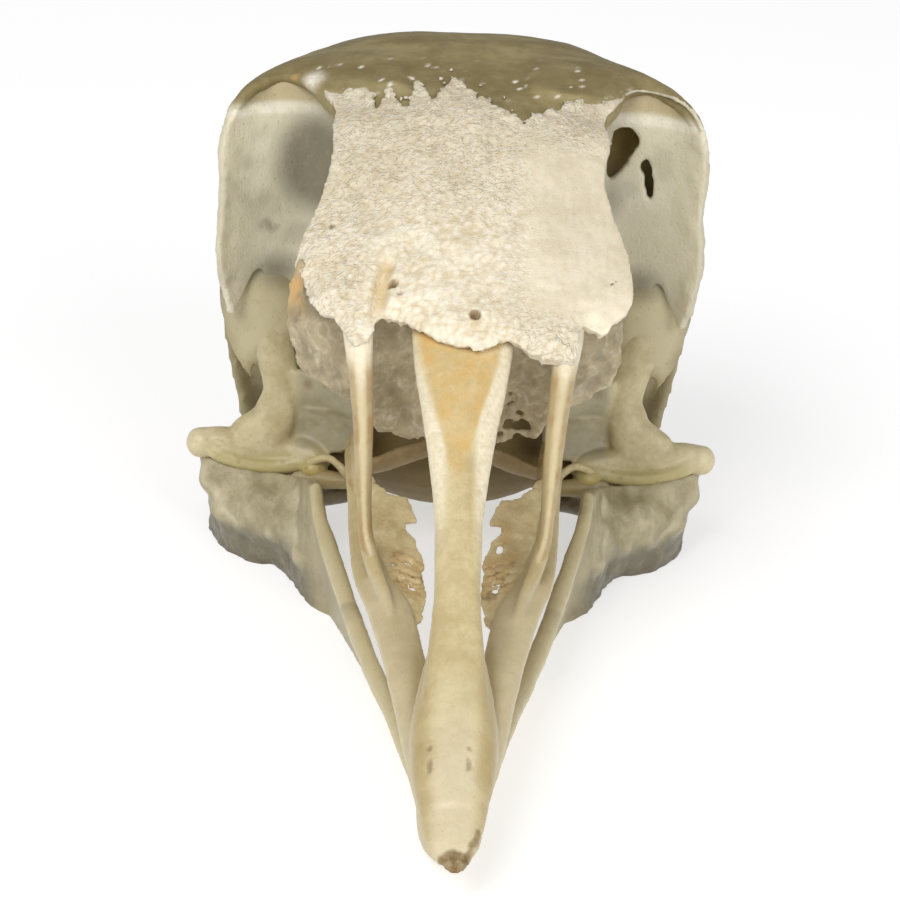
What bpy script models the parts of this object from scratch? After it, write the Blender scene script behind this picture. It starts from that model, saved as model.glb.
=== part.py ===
"""Skull of a crowned crane, life size, resting on its lower jaw.

Metres, +Z up. The beak points to -Y and the skull's right side of the picture is +X. Shapes are written in
millimetres as (across, forward, height): across from the midline, forward of the jaw joint, height above
the floor. Each bone group is fused from simple solids, then parted by thin cuts into its named bones.
"""

import math

import bmesh
import bpy
import numpy as np
from mathutils import Matrix, Vector

# ---------------------------------------------------------------- driving dimensions, in millimetres
MM = 0.001
GAP = 0.3                    # clear space between neighbouring bones
BEAK_TIP_FORWARD = 76.0
HINGE_FORWARD = 30.0         # where the forehead meets the bill
HINGE_HEIGHT = 36.0
CROWN_HEIGHT = 50.6
KNOB_HALF_WIDTH = 25.0       # outer knob of the quadrate
CORONOID = (13.2, 14.0, 12.2)  # the point where the upper rim of the lower jaw's long part starts
BELLY_START = (12.4, 15.6, 6.2)
KEEL_START = (10.7, 16.6, -0.6)
DIP = -0.6                   # the lower jaw is modelled this far below the floor, then cut flat

ROOF_THICKNESS = 2.4
PLATE_THICKNESS = 1.3
PAPER_THICKNESS = 1.0

CRANIUM_VOXEL = 0.5
JAW_VOXEL = 0.36
CRANIUM_TRIANGLES = 2400
UPPER_JAW_TRIANGLES = 1500
LOWER_JAW_TRIANGLES = 1700
QUADRATE_TRIANGLES = 340
PTERYGOID_TRIANGLES = 80

# where the thin cuts pass, forward of the jaw joint
FRONTAL_CUT = 5.2
BILL_TIP_CUT = 55.6
JAW_REAR_CUT = 16.5
JAW_TIP_CUT = 50.0
SEPTUM_HALF_WIDTH = 2.2
CRUMB = 20.0                 # bodies smaller than this many cubic millimetres are dropped

BONES = bpy.data.collections.new("bird_skull")
CUTTERS = bpy.data.collections.new("cutters")


# ---------------------------------------------------------------- making shapes
def at(across, forward, height):
    """A place on the skull, in metres."""
    return Vector((across, -forward, height)) * MM


def spline(stations, count):
    """Rows read at even steps from a Catmull-Rom curve through the stations."""
    rows = np.array(stations, float)
    padded = np.vstack([2 * rows[0] - rows[1], rows, 2 * rows[-1] - rows[-2]])
    read = []
    for step in np.linspace(0, len(rows) - 1, count):
        first = min(int(step), len(rows) - 2)
        u = step - first
        a, b, c, d = padded[first : first + 4]
        bend = 2 * a - 5 * b + 4 * c - d
        twist = 3 * b - a - 3 * c + d
        read.append(0.5 * (2 * b + (c - a) * u + bend * u**2 + twist * u**3))
    return np.array(read)


def new_object(name, mesh_maker):
    """An object whose closed mesh is made by mesh_maker(bm), with its faces pointing out."""
    bm = bmesh.new()
    mesh_maker(bm)
    bmesh.ops.recalc_face_normals(bm, faces=bm.faces)
    mesh = bpy.data.meshes.new(name)
    bm.to_mesh(mesh)
    bm.free()
    shape = bpy.data.objects.new(name, mesh)
    CUTTERS.objects.link(shape)
    return shape


def limb(name, stations, side=(1, 0, 0), power=2.0, rings=14, corners=14, upright=False):
    """A solid round a curved line: each station is across, forward, height, half width, half depth.

    The sections stand square to the line, or straight up and square to the beak's direction if upright.
    """
    rows = spline(stations, rings)
    centres = [at(*row[:3]) for row in rows]
    angles = [2 * math.pi * k / corners for k in range(corners)]

    def superellipse(angle):
        c, s = math.cos(angle), math.sin(angle)
        return (math.copysign(abs(c) ** (2 / power), c), math.copysign(abs(s) ** (2 / power), s))

    def make(bm):
        loops = []
        for i, row in enumerate(rows):
            along = (centres[min(i + 1, rings - 1)] - centres[max(i - 1, 0)]).normalized()
            if upright:
                along = Vector((0, -1, 0))
            across = Vector(side)
            across = (across - across.dot(along) * along).normalized()
            up = across.cross(along)
            ring = []
            for angle in angles:
                u, v = superellipse(angle)
                ring.append(bm.verts.new(centres[i] + across * u * row[3] * MM + up * v * row[4] * MM))
            loops.append(ring)
        for ring, following in zip(loops, loops[1:]):
            for k in range(corners):
                n = (k + 1) % corners
                bm.faces.new((ring[k], ring[n], following[n], following[k]))
        bm.faces.new(loops[0])
        bm.faces.new(loops[-1])

    return new_object(name, make)


def ball(name, centre, radii):
    """An ellipsoid with the given radii across, forward and upward."""

    def make(bm):
        place = Matrix.Translation(at(*centre)) @ Matrix.Diagonal((*radii, 1))
        bmesh.ops.create_uvsphere(bm, u_segments=24, v_segments=14, radius=MM, matrix=place)

    return new_object(name, make)


def sheet(name, lines, thickness, columns=14, rows=8):
    """A curved plate through lines of points, given its thickness by a Solidify modifier."""
    read = np.array([spline(line, columns) for line in lines])
    grid = np.array([spline(read[:, k], rows) for k in range(columns)])

    def make(bm):
        made = bmesh.ops.create_grid(bm, x_segments=columns - 1, y_segments=rows - 1, size=1)["verts"]
        for vert in made:
            column = round((vert.co.x + 1) / 2 * (columns - 1))
            row = round((vert.co.y + 1) / 2 * (rows - 1))
            vert.co = at(*grid[column][row])

    plate = new_object(name, make)
    wall = plate.modifiers.new("wall", "SOLIDIFY")
    wall.thickness = thickness * MM
    wall.offset = 0
    return apply_modifiers(plate)


def apply_modifiers(shape):
    """The same object with its modifiers worked into its mesh."""
    graph = bpy.context.evaluated_depsgraph_get()
    mesh = bpy.data.meshes.new_from_object(shape.evaluated_get(graph))
    shape.modifiers.clear()
    shape.data = mesh
    return shape


def copy_of(shape, name):
    """A second object with its own copy of the mesh."""
    twin = bpy.data.objects.new(name, shape.data.copy())
    CUTTERS.objects.link(twin)
    return twin


def mirrored(shape, name):
    """The shape's twin on the other side of the midline."""
    twin = copy_of(shape, name)
    twin.data.transform(Matrix.Scale(-1, 4, (1, 0, 0)))
    twin.data.flip_normals()
    return twin


def both(shapes):
    """The shapes of one side, with those of the other."""
    return shapes + [mirrored(shape, shape.name + "_other") for shape in shapes]


def triangle_count(shape):
    """The number of triangles in the shape's mesh."""
    shape.data.calc_loop_triangles()
    return len(shape.data.loop_triangles)


def fuse(name, shapes, voxel, triangles, smoothing):
    """One closed body made of all the shapes, softened where they meet, with about that many triangles."""
    bm = bmesh.new()
    for shape in shapes:
        bm.from_mesh(shape.data)
        bpy.data.objects.remove(shape)
    mesh = bpy.data.meshes.new(name)
    bm.to_mesh(mesh)
    bm.free()
    body = bpy.data.objects.new(name, mesh)
    CUTTERS.objects.link(body)
    skin = body.modifiers.new("skin", "REMESH")
    skin.mode = "VOXEL"
    skin.voxel_size = voxel * MM
    soften = body.modifiers.new("soften", "SMOOTH")
    soften.factor = 0.5
    soften.iterations = smoothing
    apply_modifiers(body)
    body = largest_piece(body)
    fewer = body.modifiers.new("fewer", "DECIMATE")
    fewer.ratio = min(1.0, triangles / triangle_count(body))
    fewer.use_collapse_triangulate = True
    apply_modifiers(body)
    return body


def loose_pieces(shape):
    """The shape's separate bodies, largest first, each in an object of its own."""
    bm = bmesh.new()
    bm.from_mesh(shape.data)
    bm.verts.ensure_lookup_table()
    unseen = set(bm.verts)
    groups = []
    while unseen:
        front = [unseen.pop()]
        group = set(front)
        while front:
            for edge in front.pop().link_edges:
                for vert in edge.verts:
                    if vert in unseen:
                        unseen.remove(vert)
                        group.add(vert)
                        front.append(vert)
        groups.append({vert.index for vert in group})
    bm.free()
    made = []
    for k, group in enumerate(sorted(groups, key=len, reverse=True)):
        piece = copy_of(shape, f"{shape.name}_{k}")
        bm = bmesh.new()
        bm.from_mesh(piece.data)
        bmesh.ops.delete(bm, geom=[vert for vert in bm.verts if vert.index not in group], context="VERTS")
        bm.to_mesh(piece.data)
        bm.free()
        made.append(piece)
    bpy.data.objects.remove(shape)
    return made


def volume(shape):
    """The volume inside the shape, in cubic millimetres."""
    bm = bmesh.new()
    bm.from_mesh(shape.data)
    inside = bm.calc_volume(signed=True) / MM**3
    bm.free()
    return inside


def largest_piece(shape):
    """The shape's largest body; crumbs beside it are dropped."""
    pieces = sorted(loose_pieces(shape), key=volume, reverse=True)
    for crumb in pieces[1:]:
        bpy.data.objects.remove(crumb)
    return pieces[0]


def boolean(shape, cutter, operation="DIFFERENCE"):
    """The shape cut by the cutter, which stays as it is."""
    cut = shape.modifiers.new("cut", "BOOLEAN")
    cut.object = cutter
    cut.operation = operation
    cut.solver = "EXACT"
    return apply_modifiers(shape)


def clear_of(shape, neighbour, gap=GAP):
    """Cuts from the shape the neighbour's form, larger by the gap all round."""
    swollen = copy_of(neighbour, "swollen")
    bm = bmesh.new()
    bm.from_mesh(swollen.data)
    bm.normal_update()
    for vert in bm.verts:
        vert.co += vert.normal * gap * MM * vert.calc_shell_factor()
    bm.to_mesh(swollen.data)
    bm.free()
    boolean(shape, swollen)
    bpy.data.objects.remove(swollen)
    return largest_piece(shape)


def half_space(point, normal):
    """A large box whose one face passes through the point, on the side that the normal points to."""
    size = 0.4

    def make(bm):
        bmesh.ops.create_cube(bm, size=size)

    block = new_object("half_space", make)
    turn = Vector(normal).normalized().to_track_quat("Z", "Y").to_matrix().to_4x4()
    block.data.transform(Matrix.Translation(point) @ turn @ Matrix.Translation((0, 0, size / 2)))
    return block


def part(shape, point, normal, gap=GAP):
    """The shape's two sides of a thin flat cut: what lies on the normal's side, then the rest."""
    direction = Vector(normal).normalized()
    sides = []
    for sign in (1, -1):
        side = copy_of(shape, shape.name)
        waste = half_space(point + direction * sign * gap / 2 * MM, -direction * sign)
        sides.append(boolean(side, waste))
        bpy.data.objects.remove(waste)
    bpy.data.objects.remove(shape)
    return sides


def middle(shape):
    """The middle of the shape's box, in millimetres as across, forward and height."""
    corners = np.array([vert.co for vert in shape.data.vertices])
    centre = (corners.min(0) + corners.max(0)) / 2 / MM
    return centre[0], -centre[1], centre[2]


# ---------------------------------------------------------------- cranium
def braincase():
    """The round rear of the skull, with its wide flat crown and the hole for the spinal cord."""
    stations = [  # forward, half width, lowest, highest
        (-23.0, 5.0, 22.0, 34.0),
        (-21.6, 11.5, 15.5, 41.0),
        (-18.5, 17.0, 11.0, 46.0),
        (-14.0, 20.4, 9.5, 49.2),
        (-9.0, 21.6, 9.0, CROWN_HEIGHT),
        (-4.0, 20.2, 11.0, CROWN_HEIGHT),
        (-1.0, 17.0, 15.0, CROWN_HEIGHT - 0.4),
        (2.5, 11.0, 18.0, CROWN_HEIGHT - 1.0),
        (4.6, 6.0, 22.0, CROWN_HEIGHT - 2.2),
    ]
    rows = [(0, f, (low + high) / 2, half, (high - low) / 2) for f, half, low, high in stations]
    case = limb("braincase", rows, power=2.5, rings=26, corners=32, upright=True)
    hole = ball("cord_hole", (0, -22.5, 18.6), (3.6, 4.0, 4.0))
    boolean(case, hole)
    bpy.data.objects.remove(hole)
    condyle = ball("condyle", (0, -20.2, 12.9), (1.9, 2.2, 1.6))
    base = ball("base", (0, -7.0, 11.0), (12.5, 9.0, 7.2))
    bulla = ball("bulla", (9.5, -4.6, 15.0), (7.0, 7.0, 6.6))
    return [case, condyle, base] + both([bulla])


def roof():
    """The forehead and the roof over the orbits: wide behind, narrow between the eyes, then flaring."""
    outline = [  # forward, half width, height at the midline, height at the edge
        (-17.0, 11.0, 46.8, 45.2),
        (-13.0, 14.0, 49.2, 46.6),
        (-8.0, 17.6, 50.5, 47.0),
        (-4.0, 20.9, 50.5, 47.4),
        (-1.2, 21.8, 50.3, 47.3),
        (0.6, 17.4, 50.1, 48.4),
        (2.8, 13.8, 49.8, 48.4),
        (5.5, 12.5, 49.3, 47.7),
        (8.5, 12.5, 48.6, 47.0),
        (12.0, 13.0, 46.8, 45.6),
        (15.0, 13.9, 44.9, 43.6),
        (18.0, 15.2, 43.0, 41.4),
        (20.5, 16.1, 41.4, 39.6),
        (23.3, 16.4, 39.6, 37.8),
        (26.0, 15.4, 38.1, 36.6),
        (28.5, 12.8, 36.8, 35.8),
        (31.0, 10.4, 35.5, 34.9),
    ]
    lines = []
    for f, half, top, edge in outline:
        steps = np.linspace(-1, 1, 9)
        lines.append([(half * u, f, top - (top - edge) * u * u - ROOF_THICKNESS / 2) for u in steps])
    return [sheet("roof", lines, ROOF_THICKNESS, columns=22, rows=44)]


def orbit_walls():
    """The thin plate behind each orbit, with its free point below, and the cheek's pointed process."""
    plate = sheet(
        "orbit_wall",
        [
            [(8, 3.6, 48), (8, 3.6, 42), (8, 3.4, 34), (9, 2.6, 26), (10.5, 1.2, 19)],
            [(15, 0.2, 48), (15.5, -0.2, 43), (15.5, -0.8, 36), (15.2, -1.6, 28), (15.2, -2.4, 20.5)],
            [(19.8, 0.2, 47.6), (20.6, 0.4, 42.5), (20.4, -0.2, 36), (19.8, -1.2, 29), (19.2, -1.8, 20)],
            [(22.4, 1.6, 46.6), (23.6, 2.4, 42.5), (23.3, 2.4, 37), (23.2, 1.4, 31), (21.2, -1.4, 21.5)],
        ],
        PLATE_THICKNESS,
        columns=18,
        rows=14,
    )
    point = limb(
        "orbit_point",
        [
            (21.8, 1.6, 35.0, 1.8, 0.7),
            (22.2, 2.2, 31.0, 1.8, 0.7),
            (22.5, 2.8, 28.0, 1.2, 0.65),
            (22.4, 3.0, 25.4, 0.5, 0.5),
        ],
    )
    cheek = limb(
        "cheek_point",
        [
            (20.4, -4.0, 25.0, 1.9, 1.6),
            (20.4, -2.0, 22.0, 1.5, 1.2),
            (20.0, -1.0, 19.4, 1.0, 0.8),
            (19.4, -0.5, 17.0, 0.5, 0.5),
        ],
    )
    ear = sheet(
        "ear_wing",
        [
            [(12.0, -10.0, 26.0), (12.5, -11.0, 18.0), (13.5, -11.5, 11.0)],
            [(18.0, -9.5, 26.0), (18.0, -11.5, 18.0), (17.5, -12.0, 9.4)],
            [(22.6, -8.0, 26.0), (23.3, -8.5, 18.5), (21.4, -9.0, 8.6)],
        ],
        PLATE_THICKNESS + 0.3,
    )
    return both([plate, point, cheek, ear])


def septum():
    """The wall between the orbits, the keel bone below it and the papery wall in front of the orbits."""
    wall = sheet(
        "septum",
        [
            [(0, -2.0, 15.0), (0, 8.0, 14.5), (0, 17.0, 15.5), (0, 27.0, 20.0)],
            [(0, -2.0, 30.0), (0, 8.0, 30.0), (0, 17.0, 29.0), (0, 27.0, 28.0)],
            [(0, -2.0, 48.0), (0, 8.0, 47.6), (0, 17.0, 42.0), (0, 27.0, 36.0)],
        ],
        1.5,
    )
    keel = limb(
        "keel",
        [(0, -6, 12.5, 4.0, 2.6), (0, 4, 13.4, 2.4, 2.0), (0, 14, 14.6, 1.7, 1.6), (0, 26, 16.0, 1.2, 1.2)],
    )
    paper = sheet(
        "paper_wall",
        [
            [(0, 27.0, 37.0), (8.0, 26.0, 37.4), (15.8, 24.0, 38.0)],
            [(0, 26.6, 32.0), (7.4, 25.8, 32.4), (15.8, 24.0, 33.2)],
            [(0, 26.0, 27.0), (7.0, 25.4, 28.0), (14.6, 23.8, 29.4)],
            [(0, 25.0, 23.0), (6.0, 24.8, 24.6), (13.0, 23.4, 26.8)],
        ],
        PAPER_THICKNESS + 0.2,
    )
    fillet = ball("wedge", (0, 24.0, 35.4), (7.0, 5.0, 3.2))
    return [wall, keel, fillet] + both([paper])


# ---------------------------------------------------------------- upper jaw
def bill_ridge():
    """The long middle bar between the nostrils and the solid tip of the bill."""
    bar = limb(
        "ridge",
        [
            (0, 29.0, 35.2, 5.0, 1.3),
            (0, 33.0, 32.4, 4.2, 1.2),
            (0, 38.0, 28.4, 3.2, 1.15),
            (0, 44.0, 23.5, 2.3, 1.1),
            (0, 50.0, 18.8, 1.95, 1.1),
            (0, 55.5, 14.6, 1.95, 1.2),
            (0, 60.0, 11.2, 2.6, 1.6),
        ],
        power=2.4,
        rings=22,
    )
    tip_stations = [  # forward, half width, lowest, highest
        (56.6, 2.0, 9.6, 13.8),
        (59.0, 3.4, 8.0, 13.0),
        (62.5, 4.0, 7.0, 11.3),
        (66.5, 4.0, 6.0, 9.7),
        (70.5, 3.4, 5.2, 8.1),
        (73.5, 2.5, 4.5, 6.7),
        (75.2, 1.5, 3.9, 5.6),
        (BEAK_TIP_FORWARD, 0.6, 3.9, 4.9),
    ]
    rows = [(0, f, (low + high) / 2, half, (high - low) / 2) for f, half, low, high in tip_stations]
    return [bar, limb("bill_tip", rows, power=2.2, rings=22, corners=20)]


def bill_sides():
    """The nasal bar, the palate bar and the papery shelf inside it, for one side and then the other."""
    nasal = limb(
        "nasal_bar",
        [
            (9.4, 28.0, 36.8, 1.6, 1.3),
            (9.2, 30.0, 34.8, 1.2, 1.3),
            (9.0, 30.8, 31.0, 1.2, 1.2),
            (8.8, 31.5, 25.0, 1.0, 1.1),
            (8.6, 32.0, 20.6, 0.75, 1.1),
            (8.4, 32.6, 17.0, 0.75, 1.2),
            (7.6, 34.6, 14.6, 0.9, 1.2),
            (6.4, 38.0, 13.2, 0.9, 0.9),
        ],
        rings=26,
    )
    palate = limb(
        "palate_bar",
        [
            (9.2, 9.6, 15.4, 0.9, 0.9),
            (9.0, 14.0, 15.6, 1.3, 1.0),
            (8.6, 21.0, 14.2, 1.5, 1.0),
            (8.2, 28.0, 12.9, 1.6, 1.0),
            (7.4, 34.0, 12.3, 1.9, 1.0),
            (5.9, 40.0, 11.9, 2.0, 1.1),
            (4.9, 46.0, 11.3, 1.9, 1.1),
            (4.0, 52.0, 10.6, 1.8, 1.2),
            (3.0, 58.0, 9.6, 1.8, 1.5),
            (2.0, 62.0, 8.8, 1.8, 1.5),
        ],
        rings=30,
    )
    shelf = sheet(
        "palate_shelf",
        [
            [(8.6, 16.0, 15.6), (8.4, 22.0, 14.2), (7.8, 30.0, 12.6), (6.2, 38.0, 12.0), (4.8, 45.0, 11.2)],
            [(6.2, 17.0, 16.6), (5.2, 22.0, 14.8), (4.8, 29.0, 12.6), (4.2, 37.0, 11.6), (4.0, 43.0, 11.0)],
            [(5.0, 18.0, 16.6), (3.4, 23.0, 14.6), (3.2, 29.0, 12.2), (2.8, 36.0, 11.2), (3.4, 41.0, 10.8)],
        ],
        PAPER_THICKNESS,
        columns=20,
    )
    return both([nasal, palate, shelf])


# ---------------------------------------------------------------- quadrate and pterygoid, one side
def quadrate_shapes():
    """The hourglass bone that carries the jaw joint, with its outer knob and its blade into the orbit."""
    pillar = limb(
        "pillar",
        [
            (17.6, -4.6, 25.0, 2.8, 2.0),
            (17.4, -3.2, 22.4, 2.5, 2.0),
            (17.0, -1.4, 18.6, 2.1, 1.9),
            (16.8, -0.2, 16.0, 2.2, 1.9),
            (17.0, 0.6, 13.4, 3.8, 2.0),
            (17.4, 1.0, 11.4, 5.6, 1.7),
        ],
        rings=18,
    )
    foot = limb(
        "foot",
        [
            (25.0, 1.2, 11.2, 1.3, 1.3),
            (22.6, 1.1, 11.3, 1.4, 1.5),
            (19.0, 1.0, 11.4, 1.7, 1.7),
            (14.5, 1.4, 11.4, 1.7, 1.7),
            (11.2, 2.2, 10.9, 1.2, 1.2),
        ],
        side=(0, 0, 1),
        rings=16,
    )
    knob = ball("knob", (KNOB_HALF_WIDTH - 0.2, 1.2, 11.2), (1.5, 1.5, 1.5))
    strip = limb(
        "joint_strip",
        [
            (23.6, 1.8, 10.2, 0.7, 0.9),
            (19.0, 2.4, 9.9, 0.8, 1.0),
            (15.0, 2.8, 10.0, 0.8, 1.0),
            (12.2, 3.0, 10.0, 0.8, 0.9),
        ],
        side=(0, 0, 1),
    )
    blade = limb(
        "orbit_blade",
        [
            (15.8, 0.4, 15.0, 3.0, 0.8),
            (13.4, 1.8, 15.2, 3.2, 0.7),
            (11.2, 3.2, 15.6, 2.8, 0.65),
            (9.6, 4.4, 16.2, 1.8, 0.6),
        ],
        side=(0, 0, 1),
    )
    return [pillar, foot, knob, strip, blade]


def pterygoid_shapes():
    """The thin arched rod from the quadrate's inner end to the back of the palate bar."""
    rod = limb(
        "rod",
        [
            (12.6, 4.4, 11.0, 0.7, 0.7),
            (11.4, 6.4, 12.8, 0.6, 0.6),
            (10.2, 8.6, 14.2, 0.65, 0.65),
            (9.4, 10.4, 15.0, 0.7, 0.7),
        ],
        rings=10,
        corners=8,
    )
    return [rod]


# ---------------------------------------------------------------- lower jaw
def jaw_rear():
    """The deep flared rear of the lower jaw, with its joint block and rearward process, on one side."""
    wall = sheet(
        "jaw_wall",
        [
            [(22.8, -5, 7.6), (24.2, -1, 9), (23.6, 2.6, 9.4), (19.6, 5.4, 9.6), (16.2, 9.6, 10.4), CORONOID],
            [(22, -5.6, 4), (23.6, -0.8, 4.4), (23.4, 2.4, 4.6), (19, 7, 5), (15.4, 11.8, 5.2), BELLY_START],
            [(20.4, -6.4, DIP), (23, -2, DIP), (22.8, 2, DIP), (19, 6.5, DIP), (15, 12, DIP), KEEL_START],
        ],
        1.7,
        columns=22,
        rows=10,
    )
    block = limb(
        "joint_block",
        [
            (23.6, 0.4, 7.0, 2.2, 2.2),
            (20.0, 0.6, 6.6, 2.8, 3.4),
            (15.0, 1.0, 6.6, 2.8, 3.4),
            (10.6, 1.4, 6.8, 1.8, 2.4),
        ],
        side=(0, 0, 1),
    )
    heel = limb(
        "heel",
        [
            (19.0, 0.0, 4.2, 2.8, 3.8),
            (18.6, -5.0, 3.6, 2.4, 3.8),
            (17.8, -10.0, 2.8, 1.7, 3.4),
            (17.2, -14.0, 2.4, 1.0, 2.4),
        ],
    )
    inner_point = limb(
        "inner_point",
        [(13.0, 0.0, 6.0, 1.8, 1.8), (10.0, -2.6, 6.8, 1.2, 1.2), (8.0, -4.6, 7.6, 0.6, 0.6)],
    )
    return [wall, block, heel, inner_point]


def jaw_front():
    """The long ramus of one side, from the coronoid point to the tip under the bill."""
    rim = [CORONOID, (12.1, 19, 10.6), (10.0, 30, 8.0), (7.8, 40, 6.8), (5.4, 50, 6.2), (3.2, 60, 5.4)]
    belly = [BELLY_START, (11.0, 20, 5.2), (8.6, 30, 4.2), (6.3, 40, 3.6), (4.1, 50, 3.2), (2.5, 60, 2.8)]
    keel = [KEEL_START, (9.3, 21.5, -0.3), (7.2, 30, 0.2), (4.8, 40, 0.3), (2.7, 50, 0.0), (1.9, 60, DIP)]
    ramus = sheet("ramus", [rim, belly, keel], 1.9, columns=26, rows=8)
    rim_rod = limb("rim", [(a - 0.3, f, z - 0.5, 0.9, 0.8) for a, f, z in rim[1:]], rings=20)
    return [ramus, rim_rod]


def jaw_tip():
    """The joined tip of the lower jaw, hidden under the bill."""
    stations = [  # forward, half width, lowest, highest
        (54.0, 1.6, -0.4, 4.4),
        (58.0, 2.9, -0.4, 5.2),
        (62.0, 3.0, -0.4, 5.0),
        (66.0, 2.8, 0.2, 4.4),
        (70.0, 2.2, 1.4, 3.9),
        (73.0, 1.3, 2.4, 3.4),
        (74.0, 0.5, 2.7, 3.2),
    ]
    rows = [(0, f, (low + high) / 2, half, (high - low) / 2) for f, half, low, high in stations]
    return [limb("jaw_tip", rows, power=2.2, rings=20, corners=16)]


# ---------------------------------------------------------------- naming and finishing the nodes
COLOURS = {  # slot: colour, roughness
    "crown": ((0.29, 0.26, 0.15), 0.45),
    "forehead": ((0.74, 0.67, 0.54), 0.85),
    "orbit": ((0.52, 0.50, 0.38), 0.70),
    "bill": ((0.72, 0.60, 0.33), 0.50),
    "palate": ((0.62, 0.50, 0.30), 0.65),
    "quadrate": ((0.56, 0.48, 0.27), 0.55),
    "jaw": ((0.50, 0.45, 0.30), 0.65),
}


def finish(shape, name, finish_name):
    """Makes the shape a node: its name, its own material, its origin at its middle, smooth shading."""
    across, forward, height = middle(shape)
    centre = at(across, forward, height)
    shape.data.transform(Matrix.Translation(-centre))
    shape.location = centre
    shape.name = shape.data.name = name
    CUTTERS.objects.unlink(shape)
    BONES.objects.link(shape)
    colour, roughness = COLOURS[finish_name]
    material = bpy.data.materials.new(name)
    material.use_nodes = True
    shader = material.node_tree.nodes["Principled BSDF"]
    shader.inputs["Base Color"].default_value = (*colour, 1)
    shader.inputs["Roughness"].default_value = roughness
    shader.inputs["Metallic"].default_value = 0
    shape.data.materials.clear()
    shape.data.materials.append(material)
    shape.data.shade_smooth()
    shape.data.set_sharp_from_angle(angle=math.radians(50))
    return shape


def sided(name, shape):
    """The name with the side of the picture that the shape lies on."""
    return f"{name}_{'right' if middle(shape)[0] > 0 else 'left'}"


def finish_pieces(shape, name, finish_name):
    """Names each body of the shape by its side, or without a side where it crosses the midline."""
    for piece in loose_pieces(shape):
        if volume(piece) < CRUMB:
            bpy.data.objects.remove(piece)
        elif abs(middle(piece)[0]) < 1.5:
            finish(piece, name, finish_name)
        else:
            finish(piece, sided(name, piece), finish_name)


def part_cranium(cranium):
    """Parts the cranium: forehead, septum, papery walls, plates behind the orbits and braincase."""
    front, rear = part(cranium, at(0, FRONTAL_CUT, 0), (0, -1, 0))
    slope = at(0, HINGE_FORWARD, HINGE_HEIGHT) - at(0, 8.0, 49.4)
    forehead, below = part(front, at(0, 20.0, 35.6), slope.cross(Vector((1, 0, 0))))
    right, rest = part(below, at(SEPTUM_HALF_WIDTH, 0, 0), (1, 0, 0))
    left, middle_wall = part(rest, at(-SEPTUM_HALF_WIDTH, 0, 0), (-1, 0, 0))
    finish_pieces(forehead, "frontal", "forehead")
    finish_pieces(right, "lacrimal", "orbit")
    finish_pieces(left, "lacrimal", "orbit")
    finish_pieces(middle_wall, "interorbital_septum", "orbit")
    for side in (1, -1):
        inner, outer = at(8.5 * side, FRONTAL_CUT, 0), at(24.0 * side, -4.5, 0)
        outward = (outer - inner).cross(Vector((0, 0, side)))
        plate, rear = part(rear, inner, outward)
        finish_pieces(plate, "postorbital_plate", "orbit")
    finish_pieces(rear, "braincase", "crown")


def part_upper_jaw(jaw):
    """Parts the upper jaw: bill tip, middle bar, nasal bars and palates."""
    tip, bars = part(jaw, at(0, BILL_TIP_CUT, 0), (0, -1, 0))
    finish_pieces(tip, "bill_tip", "bill")
    for bar in loose_pieces(bars):
        if abs(middle(bar)[0]) < 1.5:
            finish(bar, "bill_ridge", "bill")
        else:
            nasal, palate = part(bar, at(0, 34.5, 15.4), (0, -0.125, 1.0))
            finish_pieces(nasal, "nasal_bar", "bill")
            finish_pieces(palate, "palate", "palate")


def part_lower_jaw(jaw):
    """Parts the lower jaw: rear, ramus and joined tip."""
    front, rear = part(jaw, at(0, JAW_REAR_CUT, 0), (0, -1, 0))
    tip, rami = part(front, at(0, JAW_TIP_CUT, 0), (0, -1, 0))
    finish_pieces(rear, "mandible_rear", "jaw")
    finish_pieces(rami, "mandible_ramus", "jaw")
    finish_pieces(tip, "mandible_tip", "jaw")


def stand_on_origin(nodes):
    """Moves the skull so that the origin is below the middle of its box, on the floor."""
    bpy.context.view_layer.update()
    corners = np.array([node.matrix_world @ vert.co for node in nodes for vert in node.data.vertices])
    low, high = corners.min(0), corners.max(0)
    shift = Vector(((low[0] + high[0]) / 2, (low[1] + high[1]) / 2, low[2]))
    frame = bpy.data.objects.new("skull_frame", None)
    BONES.objects.link(frame)
    for node in nodes:
        node.parent = frame
        node.location -= shift


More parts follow.
